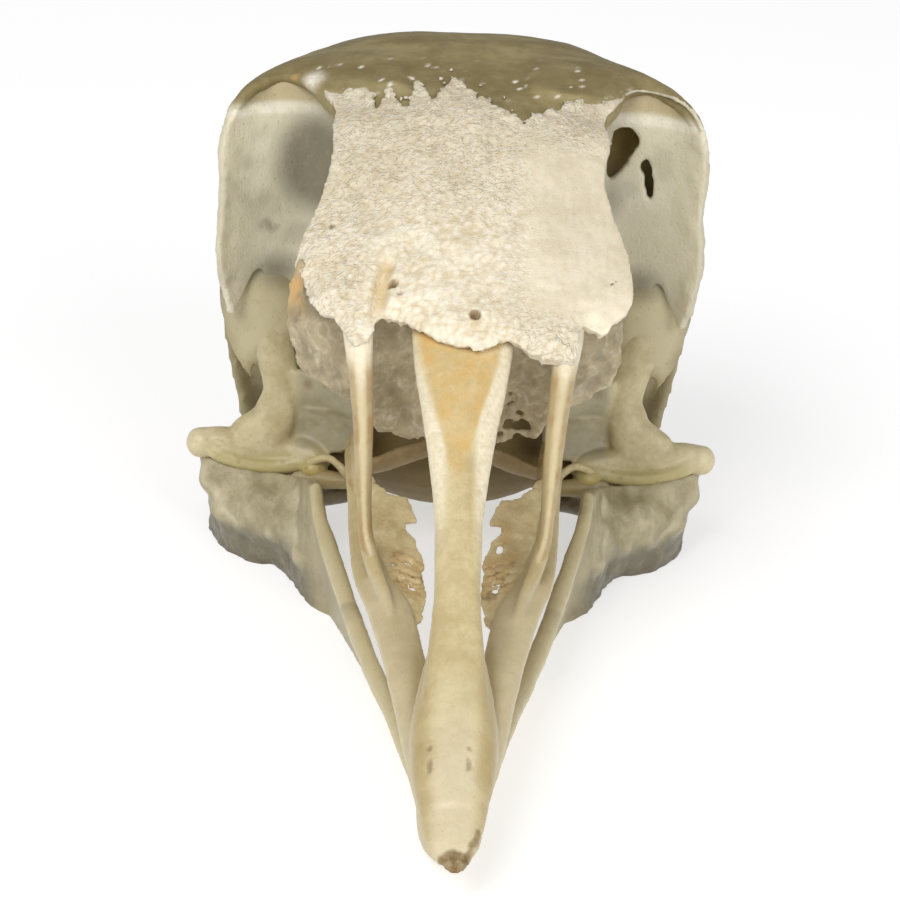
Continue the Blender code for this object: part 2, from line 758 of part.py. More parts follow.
def main():
    for old in list(bpy.data.objects):
        bpy.data.objects.remove(old)
    bpy.context.scene.collection.children.link(BONES)
    bpy.context.scene.collection.children.link(CUTTERS)

    shapes = braincase() + roof() + orbit_walls() + septum()
    cranium = fuse("cranium", shapes, CRANIUM_VOXEL, CRANIUM_TRIANGLES, smoothing=4)
    shapes = bill_ridge() + bill_sides()
    upper_jaw = fuse("upper_jaw", shapes, JAW_VOXEL, UPPER_JAW_TRIANGLES, smoothing=3)
    shapes = both(jaw_rear() + jaw_front()) + jaw_tip()
    lower_jaw = fuse("lower_jaw", shapes, JAW_VOXEL, LOWER_JAW_TRIANGLES, smoothing=3)
    quadrate = fuse("quadrate", quadrate_shapes(), JAW_VOXEL, QUADRATE_TRIANGLES, smoothing=3)
    pterygoid = fuse("pterygoid", pterygoid_shapes(), JAW_VOXEL, PTERYGOID_TRIANGLES, smoothing=1)

    quadrates = [quadrate, mirrored(quadrate, "quadrate_other")]
    pterygoids = [pterygoid, mirrored(pterygoid, "pterygoid_other")]
    for k, bone in enumerate(pterygoids):
        bone = clear_of(bone, quadrates[k])
        pterygoids[k] = clear_of(bone, upper_jaw)
    for bone in quadrates:
        cranium = clear_of(cranium, bone)
        lower_jaw = clear_of(lower_jaw, bone)
    for bone in pterygoids:
        cranium = clear_of(cranium, bone)
    upper_jaw = clear_of(upper_jaw, cranium)
    lower_jaw = clear_of(lower_jaw, upper_jaw)
    lower_jaw = clear_of(lower_jaw, cranium)
    floor = half_space(at(0, 0, 0), (0, 0, -1))
    boolean(lower_jaw, floor)
    bpy.data.objects.remove(floor)

    part_cranium(cranium)
    part_upper_jaw(upper_jaw)
    part_lower_jaw(lower_jaw)
    for bone in quadrates:
        finish(bone, sided("quadrate", bone), "quadrate")
    for bone in pterygoids:
        finish(bone, sided("pterygoid", bone), "palate")
    stand_on_origin(list(BONES.objects))
    bpy.context.scene.collection.children.unlink(CUTTERS)
    bpy.data.collections.remove(CUTTERS)


if __name__ == "__main__":
    main()
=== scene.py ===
"""The looks of a crowned crane's skull, life size, lying on its lower jaw on a pale table.

Shapes are written in millimetres on the skull itself: across from the midline (the picture's right is
positive), forward of the jaw joint, and height above the table. Each bone is gathered in a mould as simple
closed solids, fused by a voxel skin, then pushed and painted point by point.
"""

from __future__ import annotations

import itertools
import logging
import math
from collections.abc import Callable, Sequence
from dataclasses import dataclass
from enum import Enum
from functools import cache, reduce

import bmesh
import bpy
import numpy as np
from bpy.types import Material, Node, NodeSocket, NodeTree, Object
from mathutils import Matrix, Quaternion, Vector


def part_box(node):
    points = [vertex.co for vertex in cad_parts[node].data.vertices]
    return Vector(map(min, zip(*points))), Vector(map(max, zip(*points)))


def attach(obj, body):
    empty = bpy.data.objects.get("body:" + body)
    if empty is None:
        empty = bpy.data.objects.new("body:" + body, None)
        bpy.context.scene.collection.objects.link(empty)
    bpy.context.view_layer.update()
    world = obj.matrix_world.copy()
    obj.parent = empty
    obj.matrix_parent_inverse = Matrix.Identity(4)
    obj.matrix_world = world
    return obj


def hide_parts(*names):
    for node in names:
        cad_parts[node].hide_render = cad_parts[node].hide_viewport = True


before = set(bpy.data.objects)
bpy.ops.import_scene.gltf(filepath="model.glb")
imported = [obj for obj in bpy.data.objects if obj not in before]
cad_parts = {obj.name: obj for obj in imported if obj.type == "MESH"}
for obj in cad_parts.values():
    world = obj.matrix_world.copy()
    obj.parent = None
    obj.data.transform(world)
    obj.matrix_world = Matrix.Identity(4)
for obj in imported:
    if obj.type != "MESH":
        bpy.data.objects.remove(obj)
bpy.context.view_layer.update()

log = logging.getLogger("skull")

MM = 0.001
BODY = "root"
SIDES = {"left": -1, "right": 1}

Place = tuple[float, float, float]
Rows = tuple[tuple[float, ...], ...]
Colour = tuple[float, float, float, float]
Keeper = Callable[[np.ndarray], np.ndarray]


# ---------------------------------------------------------------- numbers and random fields
def ease(values: np.ndarray) -> np.ndarray:
    """The values cut to 0..1 and eased at both ends."""
    u = np.clip(values, 0, 1)
    return u * u * (3 - 2 * u)


def ramp(values: np.ndarray, start: float, end: float) -> np.ndarray:
    """0 at start, 1 at end, eased between them; start may be the larger."""
    return ease((values - start) / (end - start))


def spline(stations: Sequence, count: int) -> np.ndarray:
    """Rows read at even steps from a Catmull-Rom curve through the stations.

    Args:
        stations: Rows of numbers that the curve passes through.
        count: How many rows to read.

    Returns:
        An array with one row for each step.
    """
    rows = np.array(stations, float)
    padded = np.vstack([2 * rows[0] - rows[1], rows, 2 * rows[-1] - rows[-2]])
    steps = np.linspace(0, len(rows) - 1, count)
    first = np.minimum(steps.astype(int), len(rows) - 2)
    u = (steps - first)[:, None]
    a, b, c, d = (padded[first + k] for k in range(4))
    return 0.5 * (2 * b + (c - a) * u + (2 * a - 5 * b + 4 * c - d) * u**2 + (3 * b - a - 3 * c + d) * u**3)


def random_at(cells: np.ndarray, seed: int) -> np.ndarray:
    """A fixed random number from 0 to 1 for each whole-number cell.

    Args:
        cells: Whole-number places.
        seed: Which random numbers to use.

    Returns:
        One number for each cell.
    """
    whole = cells.astype(np.int64)
    mixed = whole[..., 0] * 374761393 + whole[..., 1] * 668265263 + whole[..., 2] * 982451653 + seed * 7919
    mixed = (mixed ^ (mixed >> 13)) * 1274126177
    return ((mixed ^ (mixed >> 16)) & 0xFFFF) / 0xFFFF


def noise(points: np.ndarray, size: float, seed: int = 0) -> np.ndarray:
    """Smooth noise from -1 to 1, whose bumps are about size millimetres wide.

    Args:
        points: Places in millimetres: across, forward and height.
        size: The width of one bump.
        seed: Which random numbers to use.

    Returns:
        One value for each point.
    """
    scaled = points / size
    base = np.floor(scaled)
    part = ease(scaled - base)
    total = np.zeros(len(points))
    for corner in itertools.product((0, 1), repeat=3):
        weight = np.prod(np.where(corner, part, 1 - part), axis=1)
        total += weight * random_at(base + corner, seed)
    return 2 * total - 1


def fractal(points: np.ndarray, size: float, seed: int = 0, octaves: int = 3) -> np.ndarray:
    """Noise with finer noise on it, from about -1 to 1."""
    total = sum(noise(points, size / 2**k, seed + k) / 2**k for k in range(octaves))
    return total / (2 - 0.5 ** (octaves - 1))


def grains(points: np.ndarray, size: float, seed: int = 0) -> np.ndarray:
    """Round grains about size millimetres wide: 1 at each grain's middle, 0 between them.

    Args:
        points: Places in millimetres: across, forward and height.
        size: The width of one grain.
        seed: Which random numbers to use.

    Returns:
        One value for each point.
    """
    scaled = points / size
    base = np.floor(scaled)
    nearest = np.full(len(points), 2.0)
    for step in itertools.product((-1, 0, 1), repeat=3):
        cell = base + step
        spot = cell + np.stack([random_at(cell, seed + k) for k in range(3)], axis=1)
        nearest = np.minimum(nearest, np.linalg.norm(scaled - spot, axis=1))
    return 1 - np.clip(nearest, 0, 1)


def near(points: np.ndarray, centre: Place, radii: float | Place) -> np.ndarray:
    """1 at the centre, easing to 0 at the radii."""
    return ease(1 - np.linalg.norm((points - centre) / radii, axis=1))


def most(*values: np.ndarray) -> np.ndarray:
    """The largest of the values at each point."""
    return reduce(np.maximum, values)


def folded(points: np.ndarray) -> np.ndarray:
    """The points with the left half laid over the right one."""
    return np.abs(points * (1, 0, 0)) + points * (0, 1, 1)


def follow(values: np.ndarray, line: Sequence) -> np.ndarray:
    """The second number of the line's places, where the first is as given."""
    return np.interp(values, *np.array(line).T)


def ovals(stations: Sequence) -> list:
    """Rows for Mould.limb on the midline, from stations of forward, half width, lowest and highest."""
    return [(0, f, (low + high) / 2, half, (high - low) / 2) for f, half, low, high in stations]


def from_line(points: np.ndarray, line: Sequence, count: int = 40) -> np.ndarray:
    """Each point's distance in millimetres from a curve through the line's places."""
    read = spline(line, count)
    return np.min([np.linalg.norm(points - place, axis=1) for place in read], axis=0)


# ---------------------------------------------------------------- the skull's place in the frame
@dataclass(frozen=True)
class Survey:
    """Where the skull's own millimetres lie in the frame.

    Attributes:
        origin: The frame's place, in metres, of the table just below the middle of the jaw joint.
    """

    origin: Vector

    @classmethod
    def from_frame(cls, ramus_rear: float = 16.65) -> Survey:
        """Reads the midline from the rami's boxes and the jaw joint from their flat rear ends.

        Args:
            ramus_rear: How far that rear end stands forward of the jaw joint, in millimetres.

        Returns:
            The survey.
        """
        left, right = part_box("mandible_ramus_left"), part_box("mandible_ramus_right")
        return cls(Vector(((left[0].x + right[1].x) / 2, left[1].y + ramus_rear * MM, left[0].z)))

    def matrix(self) -> Matrix:
        """Turns modelling coordinates (across, minus forward, height) into the frame's metres."""
        return Matrix.Translation(self.origin) @ Matrix.Scale(MM, 4)

    def at(self, across: float, forward: float, height: float) -> Vector:
        """A place on the skull, in the frame's metres."""
        return self.matrix() @ Vector((across, -forward, height))


# ---------------------------------------------------------------- moulds and skins
BEAKWARD = np.array([1.0, -1.0, 1.0])  # turns forward into the modelling coordinates' minus Y, and back


class Mould:
    """Closed solids gathered in one mesh, in millimetres, before they are fused."""

    def __init__(self) -> None:
        """Starts an empty mould."""
        self.mesh = bmesh.new()

    def limb(self, stations: Sequence[Sequence[float]], side: Place = (1, 0, 0), power: float = 2.0,
        rings: int = 28, corners: int = 24, upright: bool = False) -> Mould:
        """Adds a solid round a curved line.

        Args:
            stations: Rows of across, forward, height, half width and half depth.
            side: The direction of the sections' width.
            power: 2 for round sections, more for squarer ones.
            rings: How many sections.
            corners: How many points to a section.
            upright: Whether the sections face the beak and don't turn with the line.

        Returns:
            The mould.
        """
        rows = spline(stations, rings)
        side = np.array(side, float)
        centres = rows[:, :3] * BEAKWARD
        along = np.tile([0.0, -1.0, 0.0], (rings, 1)) if upright else np.gradient(centres, axis=0)
        along /= np.linalg.norm(along, axis=1)[:, None]
        across = side - (along @ side)[:, None] * along
        across /= np.linalg.norm(across, axis=1)[:, None]
        up = np.cross(across, along)
        made = bmesh.ops.create_uvsphere(self.mesh, u_segments=corners, v_segments=rings + 1, radius=1)
        verts = made["verts"]
        globe = np.array([vert.co for vert in verts])
        step = np.arccos(np.clip(globe[:, 2], -1, 1)) / math.pi * (rings + 1)
        ring = np.clip(np.rint(step).astype(int) - 1, 0, rings - 1)
        open_ring = np.hypot(globe[:, 0], globe[:, 1]) > 1e-4
        angle = np.arctan2(globe[:, 1], globe[:, 0])
        c, s = np.cos(angle), np.sin(angle)
        u = np.sign(c) * np.abs(c) ** (2 / power) * open_ring * rows[ring, 3]
        v = np.sign(s) * np.abs(s) ** (2 / power) * open_ring * rows[ring, 4]
        for vert, co in zip(verts, centres[ring] + across[ring] * u[:, None] + up[ring] * v[:, None]):
            vert.co = co
        return self

    def ball(self, centre: Place, radii: Place, segments: int = 28) -> Mould:
        """Adds an ellipsoid with the given radii across, forward and upward.

        Args:
            centre: Its middle.
            radii: Its radii across, forward and upward.
            segments: How many faces it has around it.

        Returns:
            The mould.
        """
        shape = Matrix.Translation(Vector(centre) * Vector(BEAKWARD)) @ Matrix.Diagonal((*radii, 1))
        bmesh.ops.create_uvsphere(self.mesh, u_segments=segments, v_segments=segments // 2, radius=1,
            matrix=shape)
        return self

    def plate(self, lines: Sequence, thickness: float, columns: int = 60, rows: int = 40,
        keep: Keeper | None = None) -> Mould:
        """Adds a curved plate through lines of places.

        Args:
            lines: Lines of across, forward and height, from one edge of the plate to the other.
            thickness: The plate's thickness in millimetres.
            columns: How many points along the lines.
            rows: How many points from line to line.
            keep: Says for each place whether the plate is there, which tears its edges and holes.

        Returns:
            The mould.
        """
        read = np.array([spline(line, columns) for line in lines])
        grid = np.array([spline(read[:, k], rows) for k in range(columns)])
        made = bmesh.ops.create_grid(self.mesh, x_segments=columns - 1, y_segments=rows - 1, size=1)["verts"]
        flat = np.array([vert.co for vert in made])
        column = np.rint((flat[:, 0] + 1) / 2 * (columns - 1)).astype(int)
        row = np.rint((flat[:, 1] + 1) / 2 * (rows - 1)).astype(int)
        for vert, co in zip(made, grid[column, row] * BEAKWARD):
            vert.co = co
        faces = list(dict.fromkeys(face for vert in made for face in vert.link_faces))
        if keep is not None:
            middles = np.array([face.calc_center_median() for face in faces]) * BEAKWARD
            kept = keep(middles)
            bmesh.ops.delete(self.mesh, geom=[f for f, k in zip(faces, kept) if not k], context="FACES")
            faces = [f for f, k in zip(faces, kept) if k]
        for face in faces:
            face.normal_update()
        normals = {vert: vert.normal.copy() for face in faces for vert in face.verts}
        for vert in normals:
            vert.normal_update()
            vert.co += vert.normal * thickness / 2
        bmesh.ops.solidify(self.mesh, geom=faces, thickness=thickness)
        return self

    def strew(self, balls: Sequence[tuple[Place, Place]], segments: int = 8) -> Mould:
        """Adds many small ellipsoids, each a copy of one small ball.

        Args:
            balls: Each one's centre and its radii, across, forward and upward.
            segments: How many faces each has around it.

        Returns:
            The mould.
        """
        pattern = bmesh.new()
        bmesh.ops.create_uvsphere(pattern, u_segments=segments, v_segments=segments // 2 + 1, radius=1)
        unit = np.array([vert.co for vert in pattern.verts])
        copied = bpy.data.meshes.new("spare_ball")
        pattern.to_mesh(copied)
        pattern.free()
        for centre, radii in balls:
            copied.vertices.foreach_set("co", (unit * radii + centre * BEAKWARD).ravel())
            self.mesh.from_mesh(copied)
        bpy.data.meshes.remove(copied)
        return self

    def on(self, side: str) -> Mould:
        """The mould as it is for the right side, or its mirror image for the left.

        Args:
            side: left or right.

        Returns:
            The mould.
        """
        for vert in self.mesh.verts:
            vert.co.x *= SIDES[side]
        return self

    def mirror(self) -> Mould:
        """Adds the same solids on the other side of the midline.

        Returns:
            The mould.
        """
        copied = bmesh.ops.duplicate(self.mesh,
            geom=self.mesh.verts[:] + self.mesh.edges[:] + self.mesh.faces[:])
        for vert in (item for item in copied["geom"] if isinstance(item, bmesh.types.BMVert)):
            vert.co.x *= -1
        return self

    def add(self, other: Mould) -> Mould:
        """Adds the solids of another mould.

        Args:
            other: The other mould.

        Returns:
            The mould.
        """
        spare = bpy.data.meshes.new("spare")
        other.mesh.to_mesh(spare)
        self.mesh.from_mesh(spare)
        bpy.data.meshes.remove(spare)
        return self

    def shape(self, name: str) -> Object:
        """The gathered solids as an object, with their faces pointing out.

        Args:
            name: The object's name.

        Returns:
            The object.
        """
        bmesh.ops.recalc_face_normals(self.mesh, faces=self.mesh.faces)
        mesh = bpy.data.meshes.new(name)
        self.mesh.to_mesh(mesh)
        self.mesh.free()
        made = bpy.data.objects.new(name, mesh)
        bpy.context.scene.collection.objects.link(made)
        return made

    def fuse(self, name: str, voxel: float, smoothing: int = 2, voids: Mould | None = None) -> Skin:
        """One skin over all the solids.

        Args:
            name: The piece's name.
            voxel: The skin's fineness in millimetres.
            smoothing: How many times the skin is softened.
            voids: Solids whose room is cut away.

        Returns:
            The skin, ready to be pushed and painted.
        """
        made = self.shape(name)
        modify(made, "REMESH", mode="VOXEL", voxel_size=voxel)
        if voids is not None:
            cutter = voids.shape(name + "_voids")
            modify(cutter, "REMESH", mode="VOXEL", voxel_size=voxel)
            apply_modifiers(cutter)
            modify(made, "BOOLEAN", object=cutter, operation="DIFFERENCE", solver="MANIFOLD")
            modify(made, "REMESH", mode="VOXEL", voxel_size=voxel)
        modify(made, "SMOOTH", factor=0.5, iterations=smoothing)
        apply_modifiers(made)
        if voids is not None:
            bpy.data.objects.remove(cutter)
        return Skin(made)


def modify(shape: Object, kind: str, **settings: object) -> None:
    """Adds a modifier with the given settings.

    Args:
        shape: The object.
        kind: The modifier's type name.
        settings: The modifier's own settings.
    """
    modifier = shape.modifiers.new(kind.lower(), kind)
    for name, value in settings.items():
        setattr(modifier, name, value)


def apply_modifiers(shape: Object) -> None:
    """Works the object's modifiers into its mesh.

    Args:
        shape: The object.
    """
    graph = bpy.context.evaluated_depsgraph_get()
    mesh = bpy.data.meshes.new_from_object(shape.evaluated_get(graph))
    shape.modifiers.clear()
    shape.data = mesh


class Skin:
    """A fused bone's surface, pushed and painted in millimetres."""

    def __init__(self, shape: Object) -> None:
        """Takes the fused object."""
        self.shape = shape
        self.refresh()

    def refresh(self) -> None:
        """Reads the surface's places and normals again."""
        mesh = self.shape.data
        mesh.update()
        count = len(mesh.vertices)
        co, normals = np.zeros(count * 3, np.float32), np.zeros(count * 3, np.float32)
        mesh.vertices.foreach_get("co", co)
        mesh.vertex_normals.foreach_get("vector", normals)
        self.places = co.reshape(-1, 3).astype(float) * BEAKWARD
        self.normals = normals.reshape(-1, 3).astype(float) * BEAKWARD

    def move(self, offsets: np.ndarray) -> Skin:
        """Moves the points by the offsets, in across, forward and height.

        Args:
            offsets: How far each point moves.

        Returns:
            The skin.
        """
        co = ((self.places + offsets) * BEAKWARD).astype(np.float32)
        self.shape.data.vertices.foreach_set("co", co.ravel())
        self.refresh()
        return self

    def push(self, amount: np.ndarray) -> Skin:
        """Moves the points outward by the amounts."""
        return self.move(self.normals * amount[:, None])

    def paint(self, **masks: np.ndarray) -> None:
        """Stores the masks that the materials read, from 0 to 1 at each point.

        Args:
            masks: The values of each mask, by its name.
        """
        for name, values in masks.items():
            store = self.shape.data.attributes.new(name, "FLOAT", "POINT")
            store.data.foreach_set("value", np.clip(values, 0, 1).astype(np.float32))

    def piece(self, survey: Survey, slot: Slot, *replaced: str) -> None:
        """Finishes the bone: its place in the frame, its material, and what it stands for.

        Args:
            survey: The skull's place in the frame.
            slot: The record's slot, whose finish the bone wears.
            replaced: The CAD nodes that the bone stands for.
        """
        made = self.shape
        made.data.transform(survey.matrix())
        made.data.shade_smooth()
        made.data.materials.clear()
        made.data.materials.append(FINISHES[slot].material())
        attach(made, BODY)
        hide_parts(*replaced)
        log.info("%s: %d faces", made.name, len(made.data.polygons))


# ---------------------------------------------------------------- finishes
class Slot(Enum):
    """The record's material slots."""

    CROWN = "crown"
    FOREHEAD = "forehead"
    ORBIT = "orbit"
    BILL = "bill"
    PALATE = "palate"
    QUADRATE = "quadrate"
    JAW = "jaw"


def dye(red: int, green: int, blue: int) -> Colour:
    """A colour as the eye names it, from 0 to 255, in the renderer's light values."""
    channels = [c / 255 for c in (red, green, blue)]
    return (*[c / 12.92 if c <= 0.04045 else ((c + 0.055) / 1.055) ** 2.4 for c in channels], 1.0)


class Tree:
    """A node tree that is being wired."""

    def __init__(self, tree: NodeTree) -> None:
        """Takes the tree."""
        self.tree = tree

    def add(self, kind: str, inputs: dict | None = None, **settings: object) -> Node:
        """Adds a node.

        Args:
            kind: The node's type name.
            inputs: Values or sockets for its inputs, by name or number.
            settings: The node's own settings.

        Returns:
            The node.
        """
        node = self.tree.nodes.new(kind)
        for name, value in settings.items():
            setattr(node, name, value)
        self.wire(node, inputs or {})
        return node

    def wire(self, node: Node, inputs: dict) -> None:
        """Gives a node's inputs, by name or number, their values or sockets.

        Args:
            node: The node.
            inputs: Values or sockets by name or number.
        """
        for name, value in inputs.items():
            if isinstance(value, NodeSocket):
                self.tree.links.new(value, node.inputs[name])
            else:
                node.inputs[name].default_value = value

    def effect(self, group: NodeTree, **inputs: object) -> dict:
        """The outputs of a shared effect with the given inputs, by name."""
        return self.add("ShaderNodeGroup", inputs, node_tree=group).outputs

    def mask(self, name: str) -> NodeSocket:
        """The mask of that name, painted on the surface."""
        return self.add("ShaderNodeAttribute", attribute_name=name).outputs["Fac"]

    def vector(self, operation: str, first: object, second: object) -> NodeSocket:
        """The outcome of one sum with vectors."""
        return self.add("ShaderNodeVectorMath", {0: first, 1: second}, operation=operation).outputs[0]

    def maths(self, operation: str, *values: object) -> NodeSocket:
        """The outcome of one sum."""
        return self.add("ShaderNodeMath", dict(enumerate(values)), operation=operation).outputs[0]

    def mix(self, factor: object, first: object, second: object) -> NodeSocket:
        """A mix of two colours."""
        return self.add("ShaderNodeMix", {0: factor, 6: first, 7: second}, data_type="RGBA").outputs[2]

    def span(self, value: object, low: float, high: float, to_low: float = 0, to_high: float = 1) -> object:
        """The value carried from one range to another, and cut to it."""
        inputs = {0: value, 1: low, 2: high, 3: to_low, 4: to_high}
        return self.add("ShaderNodeMapRange", inputs, interpolation_type="SMOOTHSTEP").outputs[0]


class Effects:
    """The shader effects that the finishes share, each a node group built once."""

    def start(self, name: str, inputs: dict[str, str], outputs: dict[str, str]) -> tuple[Tree, dict, Node]:
        """Starts a group.

        Args:
            name: The group's name.
            inputs: The kind of socket, such as Float, for each space-parted list of input names.
            outputs: The same for the output names.

        Returns:
            The tree, its input sockets by name and its output node.
        """
        group = bpy.data.node_groups.new(name, "ShaderNodeTree")
        for direction, sockets in (("INPUT", inputs), ("OUTPUT", outputs)):
            for kind, names in sockets.items():
                for socket in names.split():
                    group.interface.new_socket(socket, in_out=direction, socket_type=f"NodeSocket{kind}")
        tree = Tree(group)
        return tree, tree.add("NodeGroupInput").outputs, tree.add("NodeGroupOutput")

    def millimetres(self, tree: Tree) -> NodeSocket:
        """The surface's place in the frame, in millimetres."""
        place = tree.add("ShaderNodeTexCoord").outputs["Object"]
        return tree.add("ShaderNodeVectorMath", {0: place, 3: 1 / MM}, operation="SCALE").outputs[0]

    def noise(self, tree: Tree, vector: object, size: object, detail: float = 4.0,
        rough: float = 0.6) -> object:
        """Noise from 0 to 1 whose blotches are about size millimetres wide.

        Args:
            tree: The tree that it is wired in.
            vector: Where it is read.
            size: The blotches' size.
            detail: How many finer layers it has.
            rough: How strong the finer layers are.

        Returns:
            The noise.
        """
        scale = tree.maths("DIVIDE", 1.0, size)
        inputs = {"Vector": vector, "Scale": scale, "Detail": detail, "Roughness": rough}
        return tree.add("ShaderNodeTexNoise", inputs).outputs[0]

    @cache
    def mottle(self) -> NodeTree:
        """Two colours clouded into each other, with fine freckles.

        Returns:
            The group.
        """
        tree, get, leave = self.start("mottle", {"Color": "Pale Deep", "Float": "Blotch"},
            {"Color": "Color", "Float": "Cloud"})
        place = self.millimetres(tree)
        broad = self.noise(tree, place, get["Blotch"])
        fine = self.noise(tree, place, tree.maths("MULTIPLY", get["Blotch"], 0.18), detail=3.0)
        cloud = tree.maths("ADD", tree.maths("MULTIPLY", broad, 0.72), tree.maths("MULTIPLY", fine, 0.28))
        cloud = tree.span(cloud, 0.34, 0.66)
        tree.wire(leave, {"Color": tree.mix(cloud, get["Deep"], get["Pale"]), "Cloud": cloud})
        return tree.tree

    @cache
    def tint(self) -> NodeTree:
        """A colour laid over another where a mask is high, broken up by noise.

        Returns:
            The group.
        """
        tree, get, leave = self.start("tint", {"Color": "Under Over", "Float": "Mask Strength Ragged Size"},
            {"Color": "Color"})
        broken = tree.maths("SUBTRACT", self.noise(tree, self.millimetres(tree), get["Size"]), 0.5)
        gain = tree.maths("MULTIPLY_ADD", tree.maths("MULTIPLY", broken, get["Ragged"]), 4.0, 1.0)
        factor = tree.add("ShaderNodeClamp", {0: tree.maths("MULTIPLY", get["Mask"], gain)}).outputs[0]
        factor = tree.maths("MULTIPLY", factor, get["Strength"])
        tree.wire(leave, {"Color": tree.mix(factor, get["Under"], get["Over"])})
        return tree.tree

    @cache
    def grain(self) -> NodeTree:
        """The height of fine grain, pores and fibres, from 0 to about 1.

        Returns:
            The group.
        """
        inputs = {"Float": "Size Pores Fibres", "Vector": "Lie"}
        tree, get, leave = self.start("grain", inputs, {"Float": "Height Pits"})
        place = self.millimetres(tree)
        fine = self.noise(tree, place, get["Size"], detail=5.0, rough=0.65)
        inputs = {"Vector": place, "Scale": tree.maths("DIVIDE", 0.45, get["Size"]), "Randomness": 1.0}
        away = tree.add("ShaderNodeTexVoronoi", inputs).outputs["Distance"]
        pits = tree.span(away, 0.06, 0.24, 1.0, 0.0)
        threads = self.noise(tree, tree.vector("MULTIPLY", place, get["Lie"]), get["Size"], detail=2.0)
        height = tree.maths("MULTIPLY_ADD", threads, get["Fibres"], fine)
        height = tree.maths("SUBTRACT", height, tree.maths("MULTIPLY", pits, get["Pores"]))
        tree.wire(leave, {"Height": height, "Pits": pits})
        return tree.tree

    @cache
    def beading(self) -> NodeTree:
        """Rows of small rounded beads: their height, and the creases between them, both from 0 to 1.

        Returns:
            The group.
        """
        tree, get, leave = self.start("beading", {"Float": "Size"}, {"Float": "Height Creases"})
        place = self.millimetres(tree)
        sway = tree.maths("MULTIPLY", self.noise(tree, place, 1.6, detail=2.0), 1.4)
        squashed = tree.vector("MULTIPLY", tree.vector("ADD", place, sway), (0.85, 1.35, 1.1))
        inputs = {"Vector": squashed, "Scale": tree.maths("DIVIDE", 1.0, get["Size"]), "Smoothness": 0.25}
        away = tree.add("ShaderNodeTexVoronoi", inputs, feature="SMOOTH_F1").outputs["Distance"]
        tree.wire(leave, {"Height": tree.span(away, 0.62, 0.08), "Creases": tree.span(away, 0.34, 0.6)})
        return tree.tree


EFFECTS = Effects()


@dataclass(frozen=True)
class Tint:
    """A colour that shows where the surface's mask of that name is high."""

    mask: str
    colour: Colour
    strength: float = 1.0
    ragged: float = 0.3
    size: float = 0.8


@dataclass(frozen=True)
class Finish:
    """How one kind of bone looks.

    Attributes:
        slot: The record's material slot.
        pale: The lighter colour of the mottle.
        deep: The darker colour of the mottle.
        blotch: The mottle's size in millimetres.
        roughness: The surface's roughness where it is pale.
        polish: How much smoother it is where it is deep.
        grain: The height of the fine bump, in millimetres.
        grain_size: The size of the finest grain, in millimetres.
        pores: How deep the pores are against the grain.
        fibres: How strong the fibres are against the grain.
        lie: How the fibres are drawn: small along their length, large across it.
        bead: The height of the beads where the surface's "rough" mask is high, in millimetres; 0 for none.
        bead_size: Their size in millimetres.
        glow: How much light passes just under the surface.
        tints: Colours laid over by the surface's masks.
    """

    slot: Slot
    pale: Colour
    deep: Colour
    blotch: float = 3.0
    roughness: float = 0.55
    polish: float = 0.08
    grain: float = 0.05
    grain_size: float = 0.35
    pores: float = 0.4
    fibres: float = 0.4
    lie: Place = (3, 0.5, 0.5)
    bead: float = 0.0
    bead_size: float = 0.4
    glow: float = 0.12
    tints: tuple[Tint, ...] = ()

    def material(self) -> Material:
        """The finish's material, made once.

        Returns:
            The material.
        """
        name = f"bone_{self.slot.value}"
        if name in bpy.data.materials:
            return bpy.data.materials[name]
        made = bpy.data.materials.new(name)
        made.use_nodes = True
        tree = Tree(made.node_tree)
        clouds = tree.effect(EFFECTS.mottle(), Pale=self.pale, Deep=self.deep, Blotch=self.blotch)
        colour = clouds["Color"]
        for tint in self.tints:
            values = {"Over": tint.colour, "Strength": tint.strength, "Ragged": tint.ragged,
                "Size": tint.size}
            colour = tree.effect(EFFECTS.tint(), Under=colour, Mask=tree.mask(tint.mask), **values)["Color"]
        relief = tree.effect(EFFECTS.grain(), Size=self.grain_size, Pores=self.pores, Fibres=self.fibres,
            Lie=self.lie)
        height = relief["Height"]
        if self.bead:
            rough = tree.mask("rough")
            beads = tree.effect(EFFECTS.beading(), Size=self.bead_size)
            gain = tree.maths("MULTIPLY", rough, self.bead / self.grain)
            height = tree.maths("MULTIPLY_ADD", beads["Height"], gain, height)
            # painted shade: the creases between the beads are mixed towards a darker tan
            creased = tree.maths("MULTIPLY", tree.maths("MULTIPLY", beads["Creases"], rough), 0.2)
            colour = tree.mix(creased, colour, BEAD_CREASE_SHADE)
        # painted shade: the pores are mixed towards a dark brown
        dusk = tree.maths("MULTIPLY", relief["Pits"], 0.35 * self.pores)
        bump = tree.add("ShaderNodeBump", {"Height": height, "Distance": self.grain * MM})
        inputs = {"Base Color": tree.mix(dusk, colour, PORE_SHADE),
            "Roughness": tree.span(clouds["Cloud"], 0, 1, self.roughness - self.polish, self.roughness),
            "Normal": bump.outputs[0], "Subsurface Weight": self.glow, "Subsurface Radius": (1, 0.72, 0.45),
            "Subsurface Scale": 1.6 * MM}
        tree.wire(made.node_tree.nodes["Principled BSDF"], inputs)
        return made


BEAD_CREASE_SHADE = dye(186, 168, 134)
PORE_SHADE = dye(96, 78, 48)
TAN_SHADE = dye(120, 98, 60)
CHALK = dye(244, 237, 222)
UMBER = dye(70, 52, 28)
LIT_PLATE = dye(204, 198, 174)
# DUSK: the colour of painted shade, also of random darker stains on the plates
DUSK = dye(112, 105, 84)

